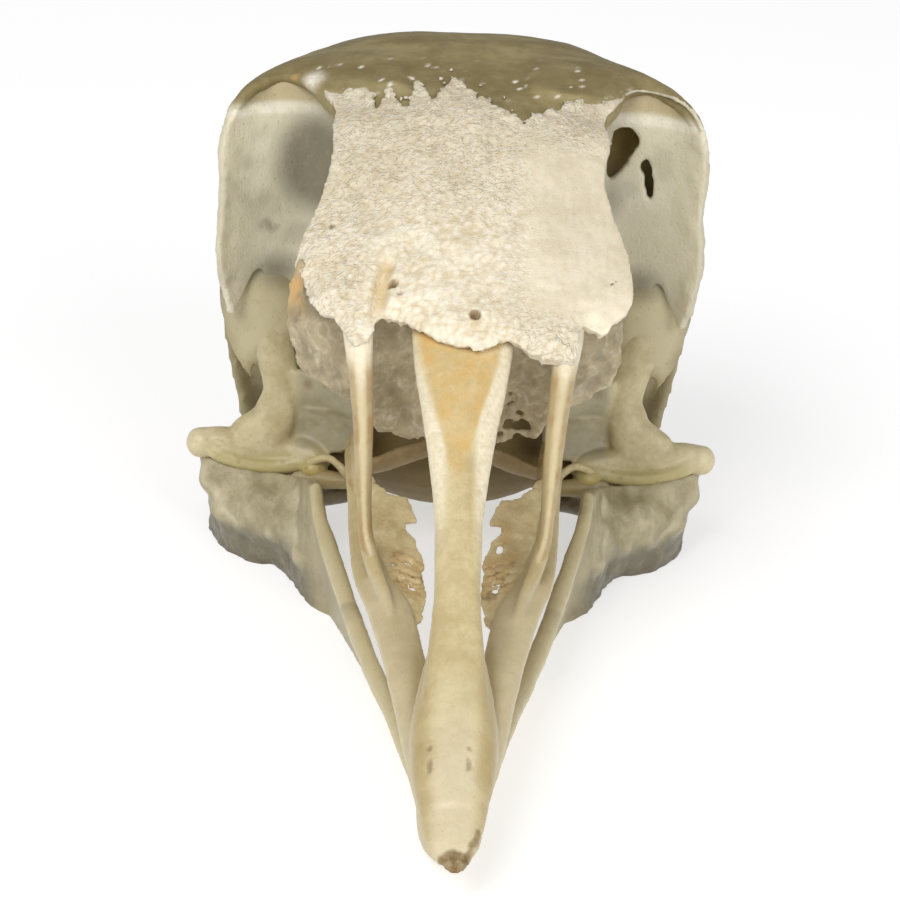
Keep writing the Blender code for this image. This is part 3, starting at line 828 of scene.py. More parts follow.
FINISHES = {finish.slot: finish for finish in [
    Finish(Slot.CROWN, dye(152, 139, 98), dye(124, 110, 70), blotch=5.0, roughness=0.58, polish=0.06,
        grain=0.05, fibres=0.7, lie=(0.3, 2, 2),
        tints=(Tint("lit", LIT_PLATE, 0.95, 0.1), Tint("crest", dye(112, 98, 58), 0.6, 0.3, 2.0),
            # deep: painted shade on the skull base near the midline and, in part, on the septum's bows
            Tint("ear", dye(194, 184, 150), 0.85, 0.2, 2.0), Tint("deep", dye(118, 98, 52), 0.9, 0.2, 1.5),
            Tint("chalk", CHALK, 0.95, 0.4, 0.6), Tint("amber", dye(188, 156, 96), 0.8, 0.4),
            # on the crown the shade tint is lighter than the bone: painted light in the hollow behind the
            # right window, and a scratch mark
            Tint("dusk", DUSK, 0.9, 0.1), Tint("shade", dye(190, 162, 92), 0.95, 0.1))),
    Finish(Slot.FOREHEAD, dye(232, 223, 201), dye(214, 202, 176), blotch=5.0, roughness=0.72, grain=0.06,
        grain_size=0.28, pores=0.3, fibres=0.3, bead=0.12, bead_size=0.34, glow=0.2,
        # pit: the crevices painted darker tan, partly the crust's own tan, partly painted shade
        tints=(Tint("pit", dye(200, 180, 142), 0.6, 0.4), Tint("chalk", dye(244, 238, 224), 0.7, 0.3),
            # streak also carries the greyer rear and right side of the crust, partly painted shade
            Tint("streak", dye(178, 166, 140), 0.55, 0.3, 1.0), Tint("amber", dye(206, 180, 128), 0.7, 0.4),
            Tint("shade", dye(128, 98, 50), 0.9, 0.2))),
    Finish(Slot.ORBIT, dye(176, 163, 132), dye(148, 136, 106), blotch=1.8, roughness=0.5, grain=0.07,
        grain_size=0.3, fibres=0.8, lie=(0.8, 0.8, 0.3), glow=0.3,
        tints=(Tint("lit", LIT_PLATE, 0.95, 0.1), Tint("tan", dye(178, 162, 122), 0.85, 0.2),
            Tint("deep", dye(118, 98, 52), 0.9, 0.2, 1.5), Tint("web", dye(222, 216, 198), 0.3, 0.3),
            # chalk on the plates also carries a painted highlight band under the rim
            Tint("chalk", CHALK, 0.8, 0.5), Tint("amber", dye(206, 164, 98), 0.85, 0.4),
            Tint("dusk", DUSK, 0.9, 0.1), Tint("shade", UMBER, 0.8, 0.2))),
    Finish(Slot.BILL, dye(200, 186, 144), dye(182, 165, 121), blotch=2.6, roughness=0.42, polish=0.1,
        grain=0.04, pores=0.3, fibres=0.7, lie=(3, 0.35, 0.35), glow=0.2,
        # ochre also carries painted shade in the valleys beside the ridge
        tints=(Tint("ochre", dye(172, 152, 108), 0.8, 0.3, 2.0),
            Tint("stain", dye(158, 122, 70), 0.6, 0.4, 1.0),
            Tint("cream", dye(212, 200, 170), 0.8, 0.2, 2.0),
            Tint("chalk", dye(230, 221, 198), 0.85, 0.5, 0.5),
            Tint("amber", dye(204, 164, 92), 0.85, 0.35, 1.2),
            Tint("shade", dye(108, 82, 24), 0.95, 0.2, 0.5))),
    Finish(Slot.PALATE, dye(210, 196, 156), dye(184, 166, 122), blotch=2.2, roughness=0.55, grain=0.06,
        glow=0.3,
        tints=(Tint("ochre", dye(178, 148, 98), 0.7, 0.4, 1.2),
            Tint("chalk", dye(226, 214, 180), 0.7, 0.5, 0.5),
            Tint("shade", dye(96, 72, 38), 0.9, 0.3, 0.5))),
    Finish(Slot.QUADRATE, dye(200, 188, 150), dye(176, 162, 122), blotch=3.2, roughness=0.42, polish=0.1,
        grain=0.04, fibres=0.5, lie=(2, 2, 0.4), glow=0.15,
        tints=(Tint("grey", dye(148, 141, 116), 0.85, 0.3, 1.5),
            Tint("olive", dye(172, 160, 108), 0.8, 0.2, 1.0),
            Tint("amber", dye(186, 164, 92), 0.85, 0.3, 1.0),
            Tint("chalk", dye(226, 216, 184), 0.7, 0.4, 0.6), Tint("shade", TAN_SHADE, 0.8, 0.3))),
    Finish(Slot.JAW, dye(178, 168, 137), dye(146, 136, 105), blotch=3.0, roughness=0.5, polish=0.12,
        grain=0.05, fibres=0.8, lie=(2.5, 2.5, 0.35), glow=0.12,
        # gleam: painted highlights on the flared wall
        tints=(Tint("gleam", dye(210, 201, 172), 0.65, 0.4, 1.2),
            # rim: painted light on the upper face of the jaw's rim
            Tint("rim", dye(206, 194, 156), 0.9, 0.2, 2.0), Tint("ochre", dye(158, 138, 88), 0.7, 0.3, 1.5),
            # rough on the jaw: painted shade towards the lower edge
            Tint("rough", dye(100, 95, 78), 0.85, 0.35, 1.0), Tint("shade", UMBER, 0.9, 0.3)))]}


# ---------------------------------------------------------------- roof and forehead
@dataclass(frozen=True)
class Roof:
    """The roof over the orbits, which the forehead's crust lies on.

    Attributes:
        thickness: Its thickness in millimetres.
        skew: How much wider it is on the right, over the orbit.
        outline: Rows of forward, half width, height at the midline and height at the edge.
    """

    thickness: float = 2.2
    skew: float = 0.8
    outline: Rows = ((-8, 14, 50.5, 49.4), (-4, 14.6, 50.5, 49), (-1.2, 14.6, 50.3, 48.8),
        (0.6, 14.2, 50.1, 48.6), (2.8, 13.4, 49.8, 48.4), (5.5, 12.3, 49.3, 47.7), (8.5, 12.5, 48.6, 47),
        (12, 12.5, 46.8, 45.4), (15, 13.2, 44.9, 43.2), (18, 14.3, 43, 41), (20.5, 15.1, 41.4, 39.2),
        (23.3, 15.6, 39.6, 37.4), (26, 15.2, 38.1, 36.2), (28.5, 13, 36.8, 35.4), (32.5, 10.6, 34.7, 34))

    def read(self, forward: np.ndarray) -> tuple[np.ndarray, np.ndarray, np.ndarray]:
        """Half width, height at the midline and height at the edge, there."""
        rows = spline(self.outline, 200)
        return tuple(np.interp(forward, rows[:, 0], rows[:, k]) for k in (1, 2, 3))

    def height(self, across: np.ndarray, forward: np.ndarray) -> np.ndarray:
        """The height of the roof's upper face."""
        half, top, edge = self.read(forward)
        return top - (top - edge) * (across / half) ** 2

    def lines(self, start: float, end: float, count: int, margin: float, lift: Callable) -> list:
        """Lines across the roof, from start to end.

        Args:
            start: Forward place of the first line.
            end: Forward place of the last line.
            count: How many lines.
            margin: How far past the roof's edge the lines reach.
            lift: Height above the roof's upper face, from across and forward.

        Returns:
            The lines, for Mould.plate.
        """
        made = []
        for forward in np.linspace(start, end, count):
            half = self.read(forward)[0] + margin
            across = np.linspace(-half, half + self.skew * ramp(forward, -2, 1) * ramp(forward, 15, 9), 25)
            f = np.full(25, forward)
            made.append(np.stack([across, f, self.height(across, f) + lift(across, f)], axis=1))
        return made


@dataclass
class Forehead:
    """The forehead's crust: rough white bone with a jagged rear border and a thick lip over the bill.

    Attributes:
        rear_border: Across and forward of the points of the jagged border, left to right.
        front_border: The same for the lip over the nostrils.
        sunk: How far the border lies under the roof's face.
        holes: Across, forward and radius of the small holes.
        drips: How many fused beads make the rear border.
        specks: How many loose beads lie behind it.
        knuckles: How many rounded lumps make the lip.
    """

    survey: Survey
    roof: Roof
    voxel: float = 0.185
    thickness: float = 1.3
    sunk: float = 0.12
    rear_border: Rows = ((-14.2, 1), (-13.3, -2.1), (-12.3, 1.8), (-11.4, 2.8), (-9.8, 3.1), (-8.3, 7),
        (-7.4, 3.5), (-6.8, 6.3), (-5.7, 7.8), (-4.8, 3.2), (-3.8, 5.1), (-3.3, 7), (-1.2, 2.2), (0.8, 5.2),
        (2.5, 7.2), (5.5, 9), (7.6, 6.5), (8.9, 4.9), (10.7, 3.7), (11.5, 2.5), (13.2, 0.8), (14.5, 0.6))
    front_border: Rows = ((-16.6, 19.6), (-15.9, 20.4), (-15.2, 21.6), (-14.5, 23.8), (-13.8, 25.8),
        (-12.6, 27.2), (-11.5, 28.4), (-10.5, 30.3), (-9.9, 31.2), (-8.6, 31), (-8.2, 29.2), (-7.4, 28.2),
        (-6.7, 28.6), (-5.8, 29), (-4.1, 29.6), (-2.8, 30.4), (-1.5, 31.2), (0.2, 31.6), (1.8, 31.9),
        (3.3, 31), (4.2, 30.7), (5.9, 31.9), (7.4, 32.1), (10.2, 32), (10.6, 28), (12.5, 28.4), (14.8, 27.6),
        (16.2, 26))
    holes: Rows = ((-6.6, 26.6, 0.36), (-5.9, 27.6, 0.2), (1, 29.9, 0.42), (-12.4, 19.6, 0.2))
    drips: int = 300
    specks: int = 70
    knuckles: int = 120

    def borders(self, across: np.ndarray, forward: np.ndarray) -> tuple[np.ndarray, np.ndarray]:
        """How far the place lies inside the rear border, and inside the front one, in millimetres.

        Args:
            across: Places across.
            forward: Places forward.

        Returns:
            The two distances.
        """
        flat = np.stack([across, forward, np.zeros_like(across)], axis=-1).reshape(-1, 3)
        fray = (0.4 * noise(flat, 0.9, 3) + 0.3 * noise(flat, 0.45, 4)).reshape(across.shape)
        back = forward - follow(across, self.rear_border) + fray
        return back, follow(across, self.front_border) - forward + 0.5 * fray

    def swell(self, across: np.ndarray, forward: np.ndarray) -> np.ndarray:
        """How high the crust stands over the roof: thin behind, a fat cushion over the bill.

        Args:
            across: Places across.
            forward: Places forward.

        Returns:
            The height over the roof's face.
        """
        back, lip = self.borders(across, forward)
        grown = 0.22 + ramp(forward, 12, 25) * (0.65 + 0.35 * ramp(-across, -6, 2))
        slope = 0.5 + 2.0 * ramp(np.abs(np.abs(across) - 9.6), 2.0, 1.0) * ramp(forward, 25, 28)
        risen = grown * (1 - np.exp(-np.clip(back, 0, 9) / 0.9))
        return risen * (1 - np.exp(-np.clip(lip, 0, 9) / slope)) - self.sunk

    def beads(self, rng: np.random.Generator) -> list[tuple[Place, Place]]:
        """The centres and radii of the beads along the rear border and behind it, and of the lip's lumps.

        Args:
            rng: The source of the random draws.

        Returns:
            The balls, for Mould.strew.
        """
        made = []
        for k in range(self.drips + self.specks):
            loose = k >= self.drips
            across = rng.uniform(-13.4, 13.2)
            behind = abs(rng.normal(0, 1.3)) if loose else rng.uniform(-0.5, 0.45)
            forward = follow(across, self.rear_border) - behind
            radius = rng.uniform(0.14, 0.22) if loose else rng.uniform(0.2, 0.36)
            height = self.roof.height(across, forward)
            made.append(((across, forward, height), (radius, radius * rng.uniform(0.9, 1.6), radius * 0.8)))
        for across in np.linspace(-13.4, 10.3, self.knuckles):
            inside = rng.uniform(0.3, 1.1) + 2.2 * (-11.2 < across < -8.0)
            forward = follow(across, self.front_border) - inside
            radius = rng.uniform(0.35, 0.6)
            height = self.roof.height(across, forward) + rng.uniform(-0.7, 0.35)
            made.append(((across, forward, height), (radius, radius * rng.uniform(0.8, 1.2), radius)))
        return made

    def build(self) -> None:
        """Builds the crust with its beads."""
        mould = Mould()
        lines = self.roof.lines(-3.5, 32.4, 72, 0.0, lambda a, f: self.swell(a, f) - self.thickness / 2)
        mould.plate(lines, self.thickness, columns=170, rows=200, keep=self.covers)
        mould.strew(self.beads(np.random.default_rng(11)))
        skin = mould.fuse("forehead_crust", self.voxel, smoothing=1)
        self.dress(skin)
        skin.piece(self.survey, Slot.FOREHEAD, "frontal")

    def covers(self, places: np.ndarray) -> np.ndarray:
        """Whether the crust is there."""
        back, lip = self.borders(places[:, 0], places[:, 1])
        return (back > 0) & (lip > 0)

    def dress(self, skin: Skin) -> None:
        """Raises the grains and paints the crust.

        Args:
            skin: The piece's surface.
        """
        p = skin.places
        across, forward = p[:, 0], p[:, 1]
        calm = ramp(across, 3.5, 7.5) * ramp(forward, 9.5, 13) * ramp(forward, 30.5, 27.5)
        calm = most(calm, 0.6 * ramp(across, 11.5, 13.5))
        rough = 1 - 0.9 * calm
        warped = p + 0.25 * np.stack([noise(p, 1.0, 20 + k) for k in range(3)], axis=1)
        fine = grains(warped, 0.55, 30)
        lumps = grains(warped, 1.9, 36)
        lower = ramp(forward, 16, 24) * ramp(across, 6, 2) * ramp(across, -11, -7)
        drawn = p * (1, 0.16, 0.16)
        striae = noise(drawn, 0.32, 40) + 0.5 * noise(drawn, 0.7, 41)
        amount = rough * (1 - 0.6 * lower) * (0.07 * (fine - 0.4) + 0.1 * fractal(p, 0.75, 33))
        amount += rough * lower * 0.4 * (lumps - 0.5)
        amount += calm * 0.06 * striae + 0.3 * fractal(p, 4.5, 44)
        groove = ramp(from_line(p, [(-7.2, 24.8, 40), (-7.7, 27, 38.4), (-8, 30, 36.6)]), 1.1, 0.3)
        amount -= 0.7 * groove
        skin.push(amount)
        shade = np.zeros(len(p))
        for hole_across, hole_forward, radius in self.holes:
            height = self.roof.height(hole_across, hole_forward) + 0.9
            away = np.hypot(p[:, 0] - hole_across, p[:, 1] - hole_forward)
            sunk = ramp(away, radius * 1.25, radius * 0.6) * (p[:, 2] > height - 2.2)
            skin.move(np.outer(sunk, (0, -0.35, -1.3)))
            shade = most(shade, ramp(away, radius * 1.5, radius))
        skin.paint(shade=shade, rough=rough * (1 - 0.7 * lower), chalk=rough * ramp(fine, 0.4, 0.75) * 0.7)
        streak = ramp(noise(p * (1, 0.1, 0.1), 1.1, 45), 0.35, 0.8)
        streak *= ramp(forward, 24, 14) * ramp(across, -4, 4)
        # darker and greyer towards the rear and on the right side: partly the crust's own greyer tone, partly
        # painted shade
        greyer_and_shaded = most(0.55 * ramp(forward, 22, 12), 0.65 * ramp(across, 5, 9) * ramp(forward, 27, 19))
        patches = 0.6 * ramp(fractal(p, 2.4, 47), 0.0, 0.5) * ramp(forward, 26, 16)
        # the crevices between the grains and between the lumps are painted darker tan: partly the crust's own
        # tan, partly painted shade
        skin.paint(streak=most(streak, greyer_and_shaded, patches),
            pit=ramp(fine, 0.4, 0.15) * 0.8 * rough + 0.5 * lower * ramp(lumps, 0.5, 0.25))
        corner = 0.5 * near(p, (-12.6, 23, 38.5), 2.5)
        skin.paint(amber=most(groove, corner, 0.9 * near(p, (1, 30.2, 35.8), (1.3, 1.5, 2.5))))


# ---------------------------------------------------------------- cranium
@dataclass
class Cranium:
    """Braincase, roof, plates behind the orbits, septum and keel: one bone in the grown bird, in four pieces.

    Attributes:
        rim, flank, plate, septum_wall, lip: The thickness of the flared rim over the orbits, the braincase's
            lower side, the plates behind the orbits, the wall between them, and the bone under the forehead.
        crown: The height of the flat crown.
        window: The hole in the right plate, as its rows of across, lowest and highest place.
        slit: The narrow hole beside it, in the same way.
        tip: The plates' lower edge, as places across and the lowest height there.
        pearls: The line of small beads along the right rim.
    """

    survey: Survey
    roof: Roof
    voxel: float = 0.4
    plate_voxel: float = 0.25
    rim: float = 1.3
    flank: float = 1.2
    plate: float = 1.0
    septum_wall: float = 1.3
    lip: float = 0.9
    crown: float = 50.6
    window: Rows = ((13.7, 40.2, 42.4), (14.3, 39.4, 44.4), (15.1, 40.1, 44.6), (16.1, 41.6, 44.5),
        (16.9, 42.9, 43.7))
    slit: Rows = ((17.2, 40.6, 41.1), (17.6, 40, 42.1), (17.9, 37.9, 41.7), (18.2, 37.2, 40.9),
        (18.5, 38, 39.3))
    tip: Rows = ((18.9, 18), (19.2, 29.4), (20.2, 28.6), (21.2, 26.6), (22, 24.6), (22.6, 26.4),
        (23.2, 28.6), (24.2, 32))
    pearls: tuple[Place, ...] = ((13, 3.2, 48.6), (15, 0.4, 48.4), (17, -1.4, 48.3), (20.3, 0.4, 48.1),
        (22.2, 1.7, 46.7), (23.1, 1.7, 44.2), (23.2, 1.6, 41.5))

    def braincase(self) -> Mould:
        """The round rear of the skull, with its wide flat crown and its flared rim over the plates.

        Returns:
            The mould.
        """
        # forward, half width, lowest, highest
        rows = ovals([(-23, 5, 22, 34), (-21.6, 11.5, 15.5, 41), (-18.5, 17, 11, 46), (-14, 20.6, 9.5, 49.2),
            (-9, 21.8, 9, self.crown), (-5, 20.6, 11, self.crown), (-2.6, 16.5, 15.0, self.crown - 0.3),
            (1.5, 10.0, 18.0, self.crown - 0.8), (4.0, 6.0, 22.0, self.crown - 1.8)])
        mould = Mould().limb(rows, power=2.9, rings=60, corners=72, upright=True)
        side = Mould().plate([
            [(6, 3.4, 49.3), (13, 2.8, 48.2), (16.8, -1.6, 47.9), (20.3, 0, 47.6), (22, 1.2, 46.3),
                (22.6, 0.5, 44), (22.7, 0.3, 40), (22.7, 0.2, 35), (22.7, -0.3, 29)],
            [(6, -2, 49.8), (12, -3, 49.4), (16, -4.5, 48.6), (19, -3.8, 47.5), (21, -3, 45.7),
                (22, -2.8, 43.6), (22.2, -2.8, 40), (22.2, -3, 35), (22.1, -3.4, 27)],
            [(6, -8, 49.8), (10.5, -9.5, 48.8), (13.8, -10.5, 47.6), (16.2, -10.5, 46.2), (18.3, -10.5, 44),
                (19.9, -10.5, 41.3), (20.7, -10.5, 38), (21, -10.8, 33), (20.8, -11, 25)]], self.rim,
            columns=70, rows=44,
            keep=lambda p: p[:, 2] > np.interp(p[:, 1], [-9, -3, 0, 2], [22, 25.5, 29.0, 33]))
        side.ball((18.8, -4.2, 25), (4.6, 4.2, 6.4))
        side.limb([(19.3, -3.2, 27, 3.9, 2.4), (19.1, -2.4, 24.8, 3.9, 2.1), (18.8, -1.6, 23.2, 3.5, 1.8),
            (18.4, -1.1, 21.8, 2.9, 1.6), (17.9, -0.8, 20.6, 2.4, 1.4), (17.5, -0.8, 19.4, 2, 1.2),
            (17.2, -1.2, 18, 1.5, 0.8)])
        side.ball((16.2, -11.4, 19.4), (6, 5.4, 9.6))
        side.limb([(21, -3.4, 24.5, 1.9, 1.6), (21.2, -1.9, 22, 1.5, 1), (20.9, -1, 20.2, 1, 0.75),
            (20.3, -0.5, 18.6, 0.6, 0.45), (19.8, -0.3, 17.2, 0.2, 0.2)])
        side.limb([(0, -22.2, 37, 0.8, 0.6), (8, -21.2, 36.6, 0.8, 0.6), (14.8, -17.4, 34, 0.8, 0.6),
            (19.4, -13, 28.4, 0.8, 0.6), (21.6, -9.6, 21.4, 0.8, 0.6)])
        side.plate([[(12, -10, 26), (12.5, -11, 18), (13.5, -11.5, 11)],
            [(18, -9.5, 26), (18, -11.5, 18), (17.5, -12, 9.4)],
            [(22.3, -6.5, 26), (22.7, -7.5, 19.5), (20.6, -8.5, 8.8)]], self.flank, columns=40, rows=30)
        side.ball((9.5, -5.4, 14.6), (7.4, 5.8, 7))
        side.ball((10.6, -3.6, 8.2), (3.4, 4.4, 3.4))
        mould.add(side.mirror())
        lines = self.roof.lines(-3.5, 12.5, 30, 0.0,
            lambda a, f: np.full(a.shape, -self.roof.thickness / 2 - 0.25))
        mould.plate(lines, self.roof.thickness, columns=60, rows=60)
        mould.ball((0, -20.4, 12.9), (1.9, 2.2, 1.6))
        mould.ball((0, -7, 10.2), (12.5, 9, 7.8))
        mould.ball((0, -19, 29), (6.4, 5, 8.4))
        return mould

    def orbit_wall(self, side: str) -> Mould:
        """The plate behind one orbit, hollowed under the rim, with its pointed lower edge.

        Args:
            side: left or right.

        Returns:
            The mould.
        """
        mould = Mould()
        mould.plate([[(6, 2.6, 48.4), (6, 3.4, 42), (6, 3.6, 34), (7, 3.2, 26), (9.5, 1.6, 18)],
            [(11, 0.2, 48.2), (11, 1.2, 43.5), (11, 1.4, 36), (11.4, 0.4, 28), (12, -0.4, 19)],
            [(15, -2.4, 48.1), (15.3, -0.9, 43.5), (15.5, -0.7, 36), (15.4, -1.4, 28), (15.6, -3.4, 21.5)],
            [(19.2, -1.8, 47.6), (19.9, -0.3, 43), (20, 0.1, 36), (19.6, -0.4, 30), (19, -2.6, 24.5)],
            [(22.2, 0.8, 46.2), (23.4, 1.9, 42.8), (23.3, 2, 37), (23.5, 2, 31), (22.2, 1.8, 24.2)]],
            self.plate, columns=110, rows=90, keep=self.right_plate if side == "right" else self.edges)
        return mould.on(side)

    def edges(self, places: np.ndarray) -> np.ndarray:
        """Whether a plate is there, over its pointed lower edge."""
        return places[:, 2] > follow(places[:, 0], self.tip)

    def right_plate(self, places: np.ndarray) -> np.ndarray:
        """Whether the right plate is there, which has two holes.

        Args:
            places: Places in millimetres: across, forward and height.

        Returns:
            True where there is bone.
        """
        kept = self.edges(places)
        for hole in (self.window, self.slit):
            across, low, high = (np.array(column) for column in zip(*hole))
            x, z = places[:, 0], places[:, 2]
            inside = (x > across[0]) & (x < across[-1])
            kept &= ~(inside & (z > np.interp(x, across, low)) & (z < np.interp(x, across, high)))
        return kept

    def septum(self) -> Mould:
        """The wall between the orbits, the keel bone below it and the bone under the forehead's lip.

        Returns:
            The mould.
        """
        mould = Mould()
        mould.plate([[(0, -2, 15), (0, 8, 14.5), (0, 15, 15.5), (0, 19, 18)],
            [(0, -2, 30), (0, 8, 30), (0, 17, 27), (0, 23.6, 25)],
            [(0, -2, 48), (0, 8, 47.6), (0, 17, 42), (0, 28, 35.8)]], self.septum_wall)
        mould.limb([(0, -6, 12.5, 4, 2.6), (0, 4, 13.4, 2.4, 2), (0, 14, 14.6, 1.7, 1.6),
            (0, 23, 15.8, 1.1, 1.1), (0, 26, 16.2, 0.4, 0.4)])
        mould.ball((0, 23, 35.2), (6.6, 4.6, 2.8))
        lines = self.roof.lines(11.5, 24.6, 30, -0.9,
            lambda a, f: np.full(a.shape, -self.roof.thickness / 2 - 0.45))
        mould.plate(lines, self.roof.thickness, columns=60, rows=60)
        mould.plate([[(-10.4, 23, 38.2), (-7.8, 23, 38.6), (-5, 23, 38.8)],
            [(-9.8, 25.6, 36.8), (-7.8, 25.4, 36.8), (-5, 26, 37.2)],
            [(-9.4, 27.6, 35.2), (-7.8, 26.8, 35.6), (-4.6, 28.6, 35.4)]], self.lip, columns=30, rows=30)
        bows = Mould().limb([(9.4, 2.6, 9.2, 1, 0.6), (6.8, 3.2, 10.2, 1.1, 0.6), (4.2, 3.8, 11.6, 1.1, 0.7),
            (1.4, 4.4, 12.8, 0.9, 0.8)])
        return mould.add(bows.mirror())

    def build(self) -> None:
        """Builds the cranium's pieces."""
        voids = Mould().ball((0, -22.5, 18.6), (3.4, 5, 3.8))
        voids.add(Mould().ball((22.6, -11.6, 16.4), (2.2, 2.4, 2.8)).mirror())
        voids.ball((15.6, -2.6, 41.6), (3.5, 2.8, 4.2))
        self.dress(self.braincase().fuse("braincase_shell", self.voxel, smoothing=3, voids=voids),
            Slot.CROWN, "braincase")
        self.dress(self.septum().fuse("orbit_septum", self.voxel, smoothing=3), Slot.ORBIT,
            "interorbital_septum")
        for side in SIDES:
            mould = self.orbit_wall(side)
            if side == "right":
                mould.strew([(tuple(place), (0.26, 0.26, 0.24)) for place in spline(self.pearls, 46)])
            skin = mould.fuse(f"orbit_plate_{side}", self.plate_voxel, smoothing=1)
            self.dress(skin, Slot.ORBIT, f"postorbital_plate_{side}")

    def dress(self, skin: Skin, slot: Slot, replaced: str) -> None:
        """Gives a piece of the cranium its relief and its masks.

        Args:
            skin: The piece's surface.
            slot: The record's slot.
            replaced: The CAD node that the piece stands for.
        """
        p = skin.places
        across, forward, height = p.T
        crown, orbit = slot is Slot.CROWN, slot is Slot.ORBIT
        side = np.abs(across)
        edge = ramp(side, 21.0, 22.6) * ramp(forward, -2.0, 0.6)
        amount = 0.12 * fractal(p, 5.0, 50) + 0.03 * fractal(p, 1.0, 54)
        skin.push(amount + edge * 0.26 * fractal(p, 1.7, 57))
        p = skin.places
        facing = ramp(skin.normals[:, 1], -0.1, 0.3)
        lit = ramp(height, 46.8, 45.8) * ramp(forward, -3.4, -1.6) * ramp(height, 20, 23)
        lit *= facing * ramp(height, 27, 30) if crown else 1.0
        skin.paint(lit=lit, web=lit * ramp(fractal(p * (1, 1, 0.7), 2.4, 61), -0.1, 0.5))
        roof_edge = ramp(height, 46.0, 46.3) * facing * orbit * ramp(forward, 8, 6)
        skin.paint(tan=most(roof_edge, ramp(forward, 10, 20) * orbit))
        bow = (forward > 2.6) * ramp(height, 13.8, 13.0) * ramp(side, 10.4, 9.8) * orbit
        # painted shade: the skull base near the midline, and in part the septum's bows, are painted dark
        # olive-brown with the deep tint
        under = ramp(side, 12.6, 11.4) * ramp(height, 15.4, 14.0) * crown * ramp(forward, -8, -5)
        skin.paint(deep=most(under, 0.6 * bow),
            crest=ramp(height, 45, 49) * ramp(fractal(p * (0.5, 2.2, 1), 2.6, 58), -0.3, 0.5))
        mirrored = folded(p)
        cheek = np.minimum(1.5 * near(mirrored, (19, -1, 24), (6.4, 6, 7.4)), 1)
        cheek += 0.5 * near(mirrored, (20.6, -0.2, 19.6), (1.8, 2, 3.4))
        rear = 0.4 * ramp(height, 22, 17) * ramp(forward, -3, -5) * ramp(side, 15, 19)
        skin.paint(ear=facing * most(rear, cheek))
        # dusk is painted shade: the dark behind the thin left plate seen through it, the recess under the
        # right rim and the fold above the cheek; stain adds random darker patches
        reach = np.hypot((across + 14.0) / 5.0, (height - 40.2) / 6.4)
        shaded_oval = ramp(reach, 1.1, 0.45) * (across < -11) * orbit
        recess_shade = most(0.7 * near(p, (14.4, -0.9, 37.6), (2.6, 9, 4.6)), 0.14 * orbit) * (across > 0)
        stain = 0.35 * ramp(fractal(p, 3.2, 62), 0.05, 0.6) * orbit
        fold_shade = 0.85 * near(mirrored, (17.6, -0.6, 28.8), (4, 5, 3.2))
        skin.paint(dusk=most(shaded_oval, recess_shade, stain, fold_shade) * facing * (forward > -4))
        # painted light: the hollow behind the right window gets the crown's shade tint, a lighter yellow
        # olive than the bone; mark is a scratch
        hollow = near(p, (15.6, -4, 41.6), (4.4, 5, 5.2))
        mark = [(-19.6, 0, 33.6), (-18.9, 0, 34.2), (-18.4, 0, 33.2), (-17.9, 0, 33.4)]
        mark = ramp(from_line(p, mark), 0.5, 0.15)
        skin.paint(shade=most(hollow * crown, 0.4 * mark))
        white = near(p, (-14.6, 0.2, 48.6), (2, 2, 1.5))
        spots = ramp(grains(p, 0.9, 59), 0.45, 0.75)
        speckle = ramp(grains(p, 1.6, 55), 0.8, 0.9) * ramp(height, 48.5, 49.5) * ramp(forward, -4, 0)
        beads = ramp(from_line(p, self.pearls), 0.5, 0.3) * (across > 0)
        beads *= 0.4 * spots if crown else 0.5
        # lit_band: a painted highlight along the top of the plates, under the rim, laid in with the chalk
        lit_band = 0.5 * ramp(np.abs(height - 45.4), 0.7, 0.2) * facing * ramp(side, 13, 15) * orbit
        pale = 0.55 * near(p, (-21.4, 1, 27.4), (2.4, 4, 4.4)) * facing * orbit
        skin.paint(chalk=most(white, beads, speckle, lit_band, pale))
        yellow = ramp(from_line(p, [(-16.4, -1.4, 48.4), (-18.4, -0.8, 48.2), (-20, 0.2, 47.8)]), 0.5, 0.2)
        skin.paint(amber=most(0.8 * yellow, 0.25 * bow))
        skin.piece(self.survey, slot, replaced)


